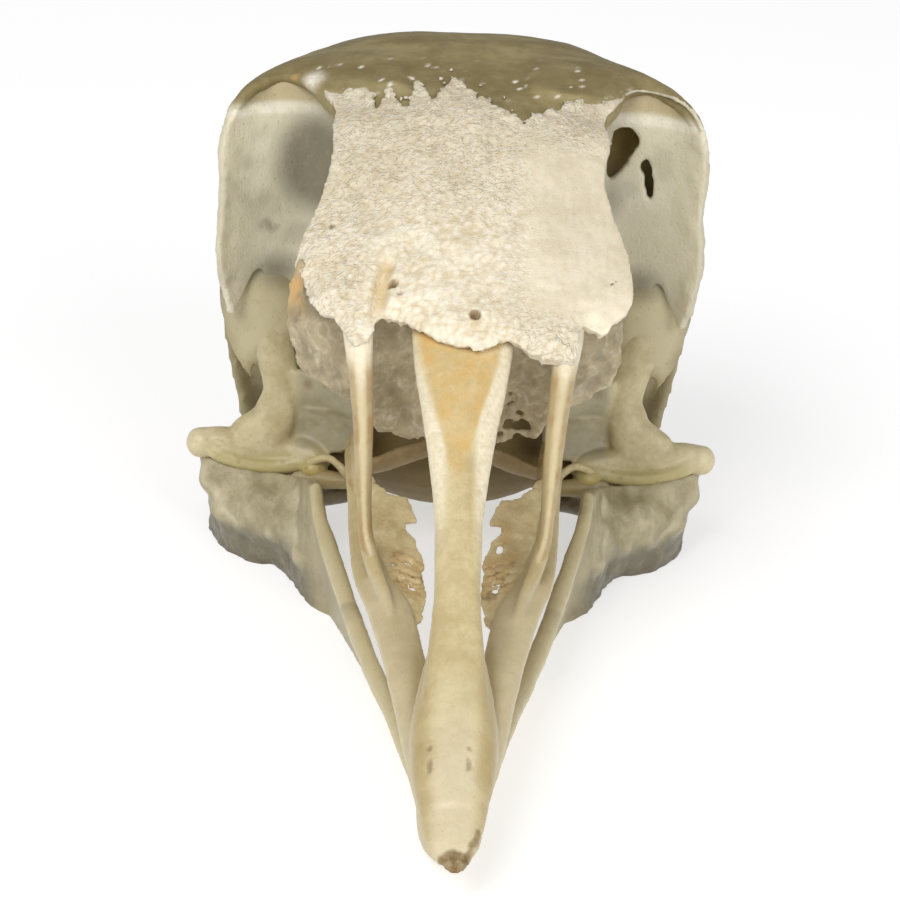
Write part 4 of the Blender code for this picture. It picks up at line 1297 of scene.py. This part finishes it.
# ---------------------------------------------------------------- papery walls in front of the orbits
@dataclass
class PaperyWall:
    """The thin torn wall below the forehead on one side, in front of the orbit."""

    survey: Survey
    side: str
    thickness: float = 0.5
    voxel: float = 0.19
    lower_edge: Rows = ((1.5, 22.4), (5.6, 22.2), (7.6, 22.6), (8.6, 25.2), (9.6, 26.4), (11.5, 26.9),
        (13.6, 27.9), (15, 29.4), (15.8, 31.5), (16.4, 34.5))

    def tears(self, places: np.ndarray) -> np.ndarray:
        """Whether the wall is there: torn below, with a lace of holes near the bill on the right.

        Args:
            places: Places in millimetres: across, forward and height.

        Returns:
            True where there is bone.
        """
        across, height = np.abs(places[:, 0]), places[:, 2]
        fray = 0.5 * noise(places, 1.3, 60) + 0.3 * noise(places, 0.5, 61)
        lace = ramp(across, 7.4, 6.4) * ramp(height, 29.0, 26.5) * (0.3 if self.side == "left" else 1.0)
        holes = grains(places, 0.95, 62) * lace
        left, right = [14.2, 15.4, 16.2, 16.1, 15.6, 15.1], [13.4, 14.6, 14.9, 14.7, 14.4, 13.8]
        widths = left if self.side == "left" else right
        outer = across < np.interp(height, [27, 30, 33, 35, 37, 40], widths) + 0.25 * fray
        return (height > follow(across, self.lower_edge) + fray) & (holes < 0.5) & outer

    def build(self) -> None:
        """Builds the wall."""
        mould = Mould()
        lines = [[(1.2, 26.2, 37), (5, 26.2, 37), (10, 26, 37.4), (14, 23.6, 38.4), (16.4, 21, 40)],
            [(1.2, 26.8, 32), (5, 26, 32), (10, 26.4, 32.2), (14, 25, 33), (16.4, 22.6, 34.2)],
            [(1.2, 26.2, 27.4), (5, 24.8, 27.4), (9, 25.8, 27.8), (13, 24.6, 28.4), (16, 22.8, 29.6)],
            [(1.2, 25.4, 21.4), (4.6, 23.6, 21.6), (8, 24, 22.8), (11, 24.2, 24.6), (14.2, 22.6, 26)]]
        mould.plate(lines, self.thickness, columns=130, rows=110, keep=self.tears)
        sign = SIDES[self.side]
        skin = mould.on(self.side).fuse(f"papery_wall_{self.side}", self.voxel, smoothing=1)
        p = skin.places
        crumple = fractal(p, 1.6, 64 + sign)
        skin.push(0.34 * crumple + 0.12 * fractal(p, 0.6, 66))
        drawn = p * (0.8, 0.8, 0.45)
        skin.paint(web=ramp(np.abs(fractal(drawn, 1.0, 68, 2)), 0.1, 0.0) * 0.8,
            chalk=ramp(fractal(p, 0.7, 70), 0.3, 0.7) * 0.35,
            amber=near(p, (-15.4, 22.6, 36), (2.4, 3.6, 3.8)))
        none = 0 * crumple
        # dusk: painted shade in the dents of the crumpled wall
        skin.paint(lit=none, tan=none, deep=none, dusk=ramp(crumple, 0.1, -0.5) * 0.5, shade=none)
        skin.piece(self.survey, Slot.ORBIT, f"lacrimal_{self.side}")


# ---------------------------------------------------------------- upper jaw
@dataclass
class Bill:
    """The middle bar with the bill's tip, the nasal bars and the palate bars, fused at the tip."""

    survey: Survey
    voxel: float = 0.215
    tip: float = 76.0

    def bars(self) -> Mould:
        """The nasal bar and the palate bar of one side.

        Returns:
            The mould.
        """
        mould = Mould()
        mould.limb([(9.7, 26, 35.2, 1.5, 1), (9.6, 29.6, 34.5, 1.4, 1.1), (9.3, 31.2, 31.8, 1.15, 1.15),
            (8.9, 31.3, 27, 0.98, 1.1), (8.7, 31.7, 22.6, 0.85, 1.05), (8.5, 32.2, 18.6, 0.7, 1.05),
            (8.2, 33.2, 15.8, 0.7, 1.05), (7.4, 35.6, 13.9, 0.72, 0.95), (6.4, 39, 12.9, 0.65, 0.8),
            (5.6, 43, 12, 0.5, 0.6), (5, 47, 11.2, 0.4, 0.4)], rings=70)
        mould.limb([(9.4, 9.6, 15.4, 0.9, 0.9), (9.3, 14, 15.6, 1.2, 0.9), (8.9, 21, 14.2, 1.2, 0.9),
            (8.5, 28, 12.9, 1.3, 0.9), (7.5, 34, 12.2, 1.8, 0.85), (5.9, 40, 11.8, 2.1, 0.95),
            (4.9, 46, 11.2, 2, 1), (4, 52, 10.4, 1.9, 1.1), (3.2, 58, 9.2, 1.8, 1.3), (2.6, 63, 8, 1.6, 1.3),
            (1.8, 68, 6.8, 1.2, 1)], rings=70)
        return mould

    def build(self) -> None:
        """Builds the upper jaw's solid bones."""
        mould = self.bars().mirror()
        mould.limb([(0, 24, 35.4, 4.6, 1.2), (0, 29, 34.2, 4.7, 1.25), (0, 33, 32, 4.25, 1.2),
            (0, 38, 28.3, 3.25, 1.15), (0, 44, 23.5, 2.3, 1.1), (0, 50, 18.8, 2.1, 1.1),
            (0, 54, 15.8, 2.4, 1.25), (0, 57.5, 13.2, 2.85, 1.5), (0, 61.5, 10.6, 3.15, 1.6),
            (0, 65.5, 8.6, 3, 1.3), (0, 69, 6.6, 2.3, 1), (0, 72, 5.2, 1.5, 0.7)], power=2.3, rings=80)
        mould.limb([(0, 51, 17.6, 1.2, 0.6), (0, 55, 13.6, 2.8, 1.8), (0, 59, 10.9, 3.7, 2.4),
            (0, 63, 9.1, 3.9, 2.3), (0, 67, 7.7, 3.5, 1.9), (0, 70, 6.7, 2.7, 1.4)], rings=60)
        # forward, half width, lowest, highest
        rows = ovals([(56, 1.4, 8.4, 10.6), (60, 3, 7, 10.4), (64.5, 3.5, 6, 9.9), (68, 3.2, 5.4, 8.75),
            (71.2, 2.7, 4.8, 7.35), (73.6, 2.1, 4.3, 6.15), (75.2, 1.25, 4, 5.3),
            (self.tip, 0.55, 4.0, 4.8)])
        mould.limb(rows, power=2.2, rings=60, corners=40)
        skin = mould.fuse("upper_jaw", self.voxel, smoothing=3)
        self.dress(skin)
        skin.piece(self.survey, Slot.BILL, "bill_ridge", "bill_tip", "nasal_bar_left", "nasal_bar_right")

    def dress(self, skin: Skin) -> None:
        """Gives the bars their relief and their masks.

        Args:
            skin: The piece's surface.
        """
        p = skin.places
        across, forward, height = p.T
        side = np.abs(across)
        skin.push(0.06 * fractal(p, 2.5, 80) + 0.03 * fractal(p, 0.8, 83))
        pits = [(-2.2, 64.7, 0.2, 0.3), (-2.15, 66.5, 0.22, 0.7), (1.25, 66.5, 0.22, 0.65),
            (1.3, 64.9, 0.14, 0.25)]
        hollows = [np.hypot((across - x) / wide, (forward - f) / long) for x, f, wide, long in pits]
        shade = most(*(ramp(hollow, 1.4, 0.7) for hollow in hollows)) * (height > 7.5)
        crumbs = ramp(forward + 0.3 * fractal(p, 1.0, 86) - 0.35 * side, 74.2, 74.6)
        flat = p * (1, 1, 0)
        corner = from_line(flat, [(2.3, 72.4, 0), (1.3, 74.8, 0)]) + 0.3 * fractal(p, 0.9, 84)
        crumbs = most(crumbs, 0.8 * ramp(corner, 0.45, 0.1))
        front = ramp(from_line(p, [(-0.6, 70.4, 9), (-0.8, 71.2, 8.6), (-1.4, 72, 8)]), 0.22, 0.08)
        skin.push(crumbs * (0.4 * fractal(skin.places, 0.9, 85) - 0.12) - 0.12 * shade)
        width = np.interp(forward, [29, 33, 37, 41, 44], [4.2, 3.5, 2.1, 0.8, 0.3])
        suture = ramp((across + 0.25) / width, 1.05, 0.85) * ramp((across + 0.25) / width, -1.15, -0.8)
        suture *= ramp(forward, 44, 39) * (height > 22)
        skin.paint(amber=suture * (0.55 + 0.6 * fractal(p, 1.6, 88)))
        stripes = ramp(side, 0.9, 1.8) * ramp(forward, 50, 42) * (side < 5.2) * (height > 19)
        lowest = np.where(across < 0, 29.5, 31.0)
        coat = ramp(side, 5.2, 6.0) * ramp(height + 1.2 * fractal(p, 1.2, 84) - lowest, -1, 4)
        nasal = (side > 7.6) * (height > 15)
        # valley_shade: painted shade in the valleys beside the ridge, laid in with the ochre tint
        valley_shade = ramp(side, 1.6, 3.0) * ramp(side, 4.4, 3.6) * ramp(forward, 44, 54) * ramp(forward, 73, 66)
        low = ramp(height, 24, 14) * ramp(forward, 44, 34) * (side > 4)
        outer = ramp(np.abs(skin.normals[:, 0]), 0.15, 0.6) * nasal * ramp(height, 34, 31.5)
        coat *= 1 - 0.8 * outer
        palate = 0.5 * ramp(side, 3.2, 4.0) * ramp(height, 15, 13) * ramp(forward, 32, 40)
        cream = ramp(forward, 55, 68) * ramp(side, 2.6, 1.2)
        skin.paint(cream=most(cream, 0.6 * nasal * (1 - outer), palate))
        flecks = 0.6 * suture * ramp(fractal(p, 1.1, 82), 0.15, 0.5) * ramp(forward, 37, 31)
        skin.paint(chalk=most(stripes * (1 - suture) * 0.8, 0.9 * coat, flecks),
            ochre=most(0.45 * low, outer, 0.7 * valley_shade), stain=outer * ramp(fractal(p, 1.4, 89), -0.3, 0.4))
        crust = crumbs * (0.8 + 0.2 * ramp(fractal(p, 0.8, 87), -0.2, 0.4))
        skin.paint(shade=most(0.45 * shade, crust, 0.4 * front))


@dataclass
class PalateSheet:
    """The torn sheet inside the palate bar of one side, spongy near its front end."""

    survey: Survey
    side: str
    thickness: float = 0.5
    voxel: float = 0.175
    rear_edge: Rows = ((3.4, 24.4), (4.2, 22.6), (5.2, 21.6), (6, 21.4), (6.8, 20.6), (7.5, 19.4),
        (8.6, 17.4))
    inner_edge: Rows = ((12, 7.6), (18, 6), (20.4, 4.6), (22, 3.4), (23.6, 2.7), (24.6, 3), (25.2, 4.8),
        (26.4, 4.5), (27.2, 3.6), (30.4, 2.9), (37, 2.6), (41.3, 3.1), (46, 3.9))

    def tears(self, places: np.ndarray) -> np.ndarray:
        """Whether the sheet is there.

        Args:
            places: Places in millimetres: across, forward and height.

        Returns:
            True where there is bone.
        """
        across, forward = np.abs(places[:, 0]), places[:, 1]
        fray = 0.4 * noise(places, 1.1, 90) + 0.3 * noise(places, 0.5, 91)
        inner = follow(forward, self.inner_edge)
        rear = follow(across, self.rear_edge)
        spongy = ramp(forward, 29, 31) * ramp(forward, 39, 36)
        spongy *= ramp(np.abs(across - 4.6 + (forward - 33) * 0.1), 1.6, 0.8)
        holes = grains(places, 0.95, 92) * spongy
        hole = near(places, (-4.1 if self.side == "left" else 4.3, 28.6, 12.6), (0.6, 1.6, 3)) > 0.4
        return (across > inner + 0.5 * fray) & (forward > rear + 1.2 * fray) & (holes < 0.55) & ~hole

    def build(self) -> None:
        """Builds the sheet."""
        mould = Mould()
        lines = [
            [(9.4, 11, 16), (9.2, 16, 15.6), (8.9, 22, 14.4), (8.2, 30, 12.9), (6.4, 38, 12.2),
                (4.9, 47, 11.2)],
            [(6.8, 11, 17.6), (6.4, 17, 16.8), (5.6, 22, 15), (5, 29, 13), (4.3, 37, 12), (4.4, 46, 11.2)],
            [(4.4, 12, 17.6), (3.8, 18, 16.6), (2.4, 23, 14), (2.3, 29, 12.2), (2.2, 36, 11.4),
                (3.6, 45, 11)]]
        mould.plate(lines, self.thickness, columns=220, rows=70, keep=self.tears)
        skin = mould.on(self.side).fuse(f"palate_sheet_{self.side}", self.voxel, smoothing=1)
        p = skin.places
        spongy = ramp(p[:, 1], 29, 31) * ramp(p[:, 1], 39, 36) * ramp(np.abs(p[:, 0]), 6.4, 5.4)
        skin.push(0.14 * fractal(p, 1.8, 94 + SIDES[self.side]) + spongy * 0.3 * (grains(p, 0.8, 96) - 0.4))
        skin.paint(ochre=most(spongy * 0.7, 0.6 * ramp(fractal(p, 2.4, 97), 0.1, 0.6)),
            chalk=ramp(fractal(p * (1, 0.5, 1), 0.8, 98), 0.25, 0.6) * 0.6,
            shade=spongy * ramp(grains(p, 0.8, 96), 0.35, 0.1) * 0.8)
        skin.piece(self.survey, Slot.PALATE, f"palate_{self.side}")


# ---------------------------------------------------------------- jaw joint
@dataclass
class JawJoint:
    """The quadrate of one side, with the thin pterygoid rod that runs from it to the palate.

    Attributes:
        blade: The thickness of the quadrate's blade into the orbit.
    """

    survey: Survey
    side: str
    voxel: float = 0.22
    rod_voxel: float = 0.16
    blade: float = 0.8

    def quadrate(self) -> Skin:
        """The leaning pillar, its outer knob, its bevelled strip and its blade into the orbit.

        Returns:
            Its skin.
        """
        mould = Mould()
        mould.limb([(18.9, -3, 25, 2, 1.5), (18.7, -1.6, 23.2, 2.1, 1.6), (18.2, -0.8, 21.6, 2.1, 1.5),
            (17.6, -0.4, 19.9, 1.95, 1.4), (17.1, 0, 18.2, 1.85, 1.3), (16.8, 0.2, 16.4, 1.9, 1.3),
            (17.2, 0.4, 14.8, 2, 1.4), (17.6, 0.7, 13.6, 2.2, 1.5), (18.2, 0.9, 12.5, 2.7, 1.4),
            (18.8, 1, 11.4, 3.3, 1.3), (19, 1, 10.4, 3.4, 1.2)], rings=50)
        mould.limb([(25.2, 1.1, 10.9, 1.4, 1.35), (23.6, 1, 10.9, 1.55, 1.45), (22.2, 1, 10.9, 1.6, 1.5),
            (20, 0.9, 10.6, 1.6, 1.6), (16.4, 0.9, 10.2, 1.6, 1.6), (13.6, 1.8, 10.2, 1.2, 1.2),
            (12.2, 2.8, 9.8, 0.7, 0.8)],
            side=(0, 0, 1), rings=40)
        mould.ball((24.7, 1.2, 10.9), (1.45, 1.5, 1.5))
        mould.limb([(24.4, 1.5, 11, 0.5, 0.8), (23, 1.9, 10.3, 0.85, 1), (21.2, 2.1, 9.7, 0.8, 1.1),
            (18.6, 2.2, 9.2, 0.8, 1.1), (16.2, 2.2, 9.3, 0.9, 1), (14.2, 2.5, 9.8, 0.8, 0.8),
            (12.6, 3.2, 9.9, 0.5, 0.6)],
            side=(0, 0, 1), rings=50)
        mould.plate([[(17.2, 0.6, 18.4), (15, 1, 18.9), (13, 2, 18.4), (11.2, 3, 17.9), (8.9, 4.4, 16.6)],
            [(17.2, 0.4, 16.6), (14.8, 1.2, 17), (12.8, 1.9, 16.8), (11, 2.9, 16.2), (8.9, 4.5, 15.4)],
            [(17.2, 0.4, 14.2), (14.8, 0.6, 14.6), (12.8, 1.1, 14.4), (11, 2.3, 14.2), (8.9, 4.2, 14)],
            [(17.2, 0.4, 12.6), (14.8, 0.4, 12.6), (12.8, 1, 12.4), (11, 2.2, 12.4), (8.9, 4.2, 13)],
            [(17.2, 1, 11.2), (14.8, 0.8, 11), (12.6, 1.6, 10.8), (11, 2.8, 11), (9, 4.4, 12.4)]],
            self.blade, columns=50, rows=40)
        mould.limb([(15.2, 1.1, 18.8, 0.35, 0.3), (13, 2.2, 18.4, 0.35, 0.3), (11.2, 3.2, 17.8, 0.35, 0.3),
            (9.2, 4.4, 16.7, 0.35, 0.3)])
        mould.ball((13.4, 3.2, 9.3), (1.35, 1.2, 1.1))
        return mould.on(self.side).fuse(f"quadrate_bone_{self.side}", self.voxel, smoothing=2)

    def build(self) -> None:
        """Builds both bones."""
        sign = SIDES[self.side]
        skin = self.quadrate()
        p = skin.places
        blade = ramp(np.abs(p[:, 0]), 15.6, 14.2) * ramp(p[:, 2], 10.8, 12.0)
        amount = (0.08 + 0.2 * blade) * fractal(p, 2.5, 100 + sign)
        skin.push(amount + (0.04 + 0.05 * blade) * fractal(p, 0.8, 103))
        mirrored = folded(p)
        side, forward, height = mirrored.T
        brim = follow(side, [(16, 11.2), (19, 10.6), (21.4, 11.2), (23.4, 12)])
        strip = ramp(forward, 1.6, 2.3) * ramp(height, brim, 9.9)
        ball = near(mirrored, (13.6, 3.8, 9.1), (1.8, 1.8, 1.6))
        skin.paint(olive=strip, amber=ball)
        blade_grey = ramp(side, 16.0, 14.6) * ramp(height, 10.6, 11.6) * (1 - ball)
        skin.paint(grey=most(blade_grey, 0.15 * ramp(height, 18.5, 21.5)))
        ridge = from_line(mirrored, [(16, 1.4, 14.6), (13.6, 1.4, 15.2), (11.4, 2.6, 15.6)])
        edge = [(24.4, 1.9, 11.9), (21.4, 2.6, 10.8), (18.7, 2.8, 10.3), (16.1, 2.8, 10.5)]
        rim = most(ramp(ridge, 0.35, 0.1), ramp(from_line(mirrored, edge), 0.3, 0.1))
        skin.paint(chalk=most(ramp(side, 22.6, 24.4) * 0.5, rim * 0.35))
        bump = near(mirrored, (14.2, 1.6, 17.8), (0.9, 1.4, 0.9))
        under = from_line(mirrored, [(13.2, 2.2, 14.1), (12, 2.4, 15.2), (9.8, 3.8, 15.4)])
        specks = ramp(grains(p, 0.9, 104), 0.7, 0.9) * strip * 0.5
        skin.paint(shade=most(0.9 * bump, specks, 0.5 * ramp(under, 0.5, 0.1)))
        skin.piece(self.survey, Slot.QUADRATE, f"quadrate_{self.side}")
        rod = Mould().limb([(14, 3.2, 9.9, 0.4, 0.4), (12.9, 4.2, 10.9, 0.36, 0.36),
            (11.9, 4.8, 11.2, 0.36, 0.36), (10.9, 5.4, 10.7, 0.4, 0.4), (10.1, 6.6, 10.4, 0.5, 0.5),
            (9.6, 9, 12.6, 0.55, 0.55), (9.4, 11, 15, 0.7, 0.7)], rings=50)
        skin = rod.on(self.side).fuse(f"pterygoid_rod_{self.side}", self.rod_voxel, smoothing=2)
        skin.push(0.05 * fractal(skin.places, 1.0, 106))
        patches = 0.3 * ramp(fractal(skin.places, 1.5, 108), 0, 0.6)
        skin.paint(ochre=patches, chalk=patches, shade=patches)
        skin.piece(self.survey, Slot.PALATE, f"pterygoid_{self.side}")


# ---------------------------------------------------------------- lower jaw
@dataclass
class LowerJaw:
    """The lower jaw: two deep flared rear parts, two long rami and their joined tip.

    Attributes:
        wall: The thickness of the flared wall.
        ramus_wall: The thickness of the long part.
        dip: How far below the table it is modelled before it is cut flat.
        coronoid: The point where the upper rim of the long part starts.
        highlight_lines: Lines on the flared wall that get painted highlights.
        bulges: Places on the flared wall that stand out (or sink in, below 0), with their radius and height.
    """

    survey: Survey
    voxel: float = 0.27
    wall: float = 1.4
    ramus_wall: float = 1.3
    dip: float = -0.6
    coronoid: Place = (13.2, 13, 12)
    belly_start: Place = (12.3, 15.4, 6.2)
    keel_start: Place = (10.7, 16.6, -0.6)
    bulges: Rows = ((23.8, 1.8, 7.2, 2.2, 0.8), (23, 3.4, 4.6, 1.8, 0.6), (21.6, 3.6, 7, 2, -0.8),
        (21.4, 5, 4.4, 1.6, -0.5), (18.4, 5.6, 6.8, 2.4, 1), (17, 7.6, 4.2, 1.6, 0.7),
        (15.4, 8.6, 8, 2, -0.6), (14.2, 12, 4.2, 1.8, 0.7), (20.2, 6, 2.2, 1.8, -0.5),
        (16, 9.6, 2.4, 1.4, -0.5), (13.2, 13, 8, 1.4, -0.4))
    highlight_lines: tuple[tuple[Place, ...], ...] = (((24.6, 1.6, 8.6), (23.4, 3.4, 6.4), (21.8, 5, 4.4),
        (19.8, 6.4, 3)),
        ((18, 3.4, 8.2), (17.8, 6.4, 6), (16.8, 8.2, 3.8)), ((15, 7.4, 9), (14.8, 10.8, 6), (14, 12.8, 3.6)))

    def rear(self, mould: Mould) -> None:
        """The flared wall with its joint block, its heel and the point behind it.

        Args:
            mould: The mould that it is added to.
        """
        low = self.dip
        mould.plate([
            [(22.6, -5, 7.6), (24.2, -1.6, 9.2), (23.9, 1, 9.6), (21.4, 2, 8.9), (18.7, 2.4, 8.3),
                (16.2, 3, 8.3), (14.5, 5.4, 9.3), (13.6, 9.5, 11), self.coronoid],
            [(22, -6, 4.4), (23.2, -2, 5.2), (23.1, 1.4, 5.4), (21.4, 4.4, 5.4), (19.2, 6.2, 5.4),
                (17, 7.4, 5.6), (15.2, 9.6, 5.8), (13.6, 12.4, 6.2), self.belly_start],
            [(21.2, -7, low), (22.8, -4, low), (22.6, -1.2, low), (21.4, 1.8, low), (19.6, 4, low),
                (18.1, 4.8, low), (16.6, 4.9, low), (15, 7.6, low), (14, 10.8, low), (13, 13.8, low),
                (11.8, 15.6, low), self.keel_start]], self.wall, columns=110, rows=50)
        mould.limb([(22.6, 0, 7, 2, 2), (20, 0.2, 6.4, 2.6, 3), (15, 0.8, 6.4, 2.6, 3),
            (12, 1.4, 6.4, 1.5, 2.4), (10, 1.6, 6.6, 1.2, 1.8), (8.8, 1.8, 6.8, 0.5, 0.8)],
            side=(0, 0, 1))
        mould.limb([(15.4, 3, 8, 1, 0.9), (13, 3.6, 8.5, 1.1, 1), (10.8, 4.4, 8.7, 0.9, 0.8),
            (9.2, 5.2, 8.9, 0.6, 0.6)])
        mould.limb([(19, 0, 4.2, 2.8, 3.8), (18.6, -5, 3.6, 2.4, 3.8), (17.8, -10, 2.8, 1.7, 3.4),
            (17.2, -14, 2.4, 1.1, 2.4), (17, -15.6, 2.2, 0.4, 1)])
        mould.limb([(13, 0, 6, 1.8, 1.8), (10, -2.6, 6.8, 1.2, 1.2), (8, -4.6, 7.6, 0.6, 0.6)])

    def ramus(self, mould: Mould) -> None:
        """The long part of one side, with its thicker upper rim.

        Args:
            mould: The mould that it is added to.
        """
        rim = [self.coronoid, (12.3, 19, 10), (10, 30, 8), (7.8, 40, 6.8), (5.4, 50, 6.2), (3.2, 60, 5.4)]
        belly = [self.belly_start, (11, 20, 5.2), (8.6, 30, 4.2), (6.3, 40, 3.6), (4.1, 50, 3.2),
            (2.5, 60, 2.8)]
        keel = [self.keel_start, (9.3, 21.5, -0.3), (7.2, 30, 0.2), (4.8, 40, 0.3), (2.7, 50, 0),
            (1.9, 60, self.dip)]
        mould.plate([rim, belly, keel], self.ramus_wall, columns=110, rows=30)
        mould.limb([(13.2, 12.8, 12, 0.35, 0.35), (13, 15.6, 11, 0.5, 0.5), (12.1, 19, 9.6, 0.8, 0.7),
            (9.7, 30, 7.5, 0.9, 0.8), (7.5, 40, 6.3, 0.9, 0.8), (5.1, 50, 5.7, 0.9, 0.8),
            (2.9, 60, 4.9, 0.9, 0.8)], rings=60)

    def build(self) -> None:
        """Builds the lower jaw as one bone, cut flat where it lies on the table."""
        mould = Mould()
        self.rear(mould)
        self.ramus(mould)
        mould.mirror()
        # forward, half width, lowest, highest
        rows = ovals([(54, 1.6, -0.4, 4.4), (58, 2.9, -0.4, 5.2), (62, 3, -0.4, 5), (66, 2.7, 0.2, 4.4),
            (69.5, 1.9, 1.6, 4.1), (71.8, 1, 2.8, 3.9), (72.6, 0.4, 3, 3.8)])
        mould.limb(rows, power=2.2, rings=40, corners=32)
        skin = mould.fuse("lower_jaw", self.voxel, smoothing=2)
        self.dress(skin)
        nodes = ["mandible_tip"] + [f"mandible_{part}_{side}" for part in ("rear",
            "ramus") for side in SIDES]
        skin.piece(self.survey, Slot.JAW, *nodes)

    def dress(self, skin: Skin) -> None:
        """Models the flared walls, roughens their lower edge, flattens the underside and paints the masks.

        Args:
            skin: The piece's surface.
        """
        p = skin.places
        side, forward, height = np.abs(p[:, 0]), p[:, 1], p[:, 2]
        rear = ramp(forward, 18, 12)
        low = ramp(height, 6.0, 1.6) * rear
        mirrored = folded(p)
        bulge = sum(gain * near(mirrored, (x, f, z), radius) for x, f, z, radius, gain in self.bulges)
        amount = 0.1 * fractal(p, 3.0, 110) + 0.03 * fractal(p, 0.9, 113) + low * 0.34 * fractal(p, 1.3, 116)
        skin.push(amount + bulge * ramp(skin.normals[:, 1] + np.abs(skin.normals[:, 0]), 0.2, 0.7))
        p = skin.places
        skin.move(np.outer(np.maximum(-p[:, 2], 0), (0, 0, 1)))
        bar = from_line(mirrored, [(13.2, 12.8, 12), (13, 15.6, 11), (12.1, 19, 9.6), (9.7, 30, 7.5)], 60)
        width = np.interp(forward, [12, 16, 22, 30], [0.4, 0.7, 1.0, 1.2])
        # painted light: the rim's upper face, along the bar and over the front of the rami, is painted
        # lighter
        skin.paint(rim=most(ramp(bar / width, 1.2, 0.8), ramp(forward, 26, 36)))
        highlight_lines = [from_line(mirrored, line) for line in self.highlight_lines]
        # gleam: painted highlights along the highlight lines and in streaks over the flared wall
        gleam = 0.7 * ramp(np.min(highlight_lines, axis=0) + 0.4 * fractal(p, 2.0, 117), 0.9, 0.1)
        gleam += ramp(fractal(p * (2, 2, 0.5), 1.6, 118), 0.2, 0.7) * 0.5
        skin.paint(gleam=gleam * rear * ramp(height, 1.5, 3.5))
        shelf = ramp(side, 14.6, 13.4) * ramp(forward, 9, 6) * ramp(height, 7.4, 8.2)
        # rough: the wall is painted darker towards its ragged lower edge: painted shade
        skin.paint(ochre=ramp(forward, 30, 18) * ramp(forward, 12, 15) * 0.3 + shelf,
            rough=ramp(height + 1.3 * fractal(p, 2.4, 119), 5.0, 2.6) * rear)
        cellar = 0.75 * ramp(side, 13.6, 12.6) * ramp(forward, 8, 5) * ramp(height, 7.8, 7.0)
        skin.paint(shade=most(0.35 * ramp(height, 1.6, 0.4) * rear, cellar))


# ---------------------------------------------------------------- studio
@dataclass(frozen=True)
class Studio:
    """The pale table, the soft light and the camera where the photographer's stood.

    Attributes:
        azimuth: The camera's direction round the skull, in degrees.
        elevation: Its height over the table's plane, in degrees.
        roll: How far the picture is turned, in degrees.
        distance: From the camera to the target, in millimetres.
        target: The place on the skull in the picture's middle.
        focal: The focal length in the picture's pixels.
        picture: The picture's width in pixels.
        table_reach: How far the table's edges lie from its middle, in metres.
    """

    survey: Survey
    azimuth: float = -1.29
    elevation: float = 23.58
    roll: float = 2.52
    distance: float = 480.0
    target: Place = (-0.31, 10.32, 15)
    focal: float = 4963.0
    picture: float = 900.0
    sensor: float = 36.0
    table_reach: float = 2.0

    def camera(self) -> None:
        """Sets the camera."""
        data = bpy.data.cameras.new("camera")
        data.sensor_width = self.sensor
        data.lens = self.sensor * self.focal / self.picture
        data.clip_start = 0.01
        camera = bpy.data.objects.new("camera", data)
        turn, rise = math.radians(self.azimuth), math.radians(self.elevation)
        back = Vector((math.sin(turn) * math.cos(rise), -math.cos(turn) * math.cos(rise), math.sin(rise)))
        camera.location = self.survey.at(*self.target) + back * self.distance * MM
        camera.rotation_mode = "QUATERNION"
        roll = Quaternion((0, 0, 1), math.radians(self.roll))
        camera.rotation_quaternion = (-back).to_track_quat("-Z", "Y") @ roll
        bpy.context.scene.collection.objects.link(camera)
        bpy.context.scene.camera = camera

    def table(self) -> None:
        """Lays the pale table."""
        mesh = bpy.data.meshes.new("table")
        flat = bmesh.new()
        bmesh.ops.create_grid(flat, x_segments=1, y_segments=1, size=self.table_reach)
        flat.to_mesh(mesh)
        flat.free()
        table = bpy.data.objects.new("table", mesh)
        table.location.z = self.survey.origin.z
        bpy.context.scene.collection.objects.link(table)
        finish = bpy.data.materials.new("table_white")
        finish.use_nodes = True
        look = {"Base Color": (0.62, 0.62, 0.63, 1), "Emission Color": (1, 1, 1, 1),
            "Emission Strength": 0.52, "Roughness": 0.9, "Specular IOR Level": 0.1}
        Tree(finish.node_tree).wire(finish.node_tree.nodes["Principled BSDF"], look)
        mesh.materials.append(finish)

    def softbox(self, name: str, place: Place, size: float, power: float, colour: Place) -> None:
        """Hangs a square soft light that faces the skull.

        Args:
            name: The light's name.
            place: Its place round the skull, in metres.
            size: Its side in metres.
            power: Its power in watts.
            colour: Its colour.
        """
        data = bpy.data.lights.new(name, "AREA")
        data.size = size
        data.energy = power
        data.color = colour
        lamp = bpy.data.objects.new(name, data)
        lamp.location = place
        lamp.rotation_euler = (self.survey.at(0, 20, 20) - Vector(place)).to_track_quat("-Z", "Y").to_euler()
        bpy.context.scene.collection.objects.link(lamp)

    def build(self) -> None:
        """Sets the whole studio."""
        self.camera()
        self.table()
        world = bpy.data.worlds.new("studio")
        world.use_nodes = True
        light = {"Color": (1, 1, 1, 1), "Strength": 0.36}
        Tree(world.node_tree).wire(world.node_tree.nodes["Background"], light)
        bpy.context.scene.world = world
        self.softbox("key", (-0.26, -0.46, 0.58), 0.42, 3.8, (1, 0.99, 0.965))
        self.softbox("front", (0.36, -0.60, 0.42), 0.5, 2.6, (1, 0.99, 0.975))
        bpy.context.scene.view_settings.view_transform = "Standard"


def main() -> None:
    """Builds the skull bone by bone, then the studio."""
    logging.basicConfig(level=logging.INFO, format="%(name)s: %(message)s")
    survey = Survey.from_frame()
    roof = Roof()
    Studio(survey).build()
    Cranium(survey, roof).build()
    Forehead(survey, roof).build()
    for side in SIDES:
        PaperyWall(survey, side).build()
        PalateSheet(survey, side).build()
        JawJoint(survey, side).build()
    Bill(survey).build()
    LowerJaw(survey).build()


if __name__ == "__main__":
    main()
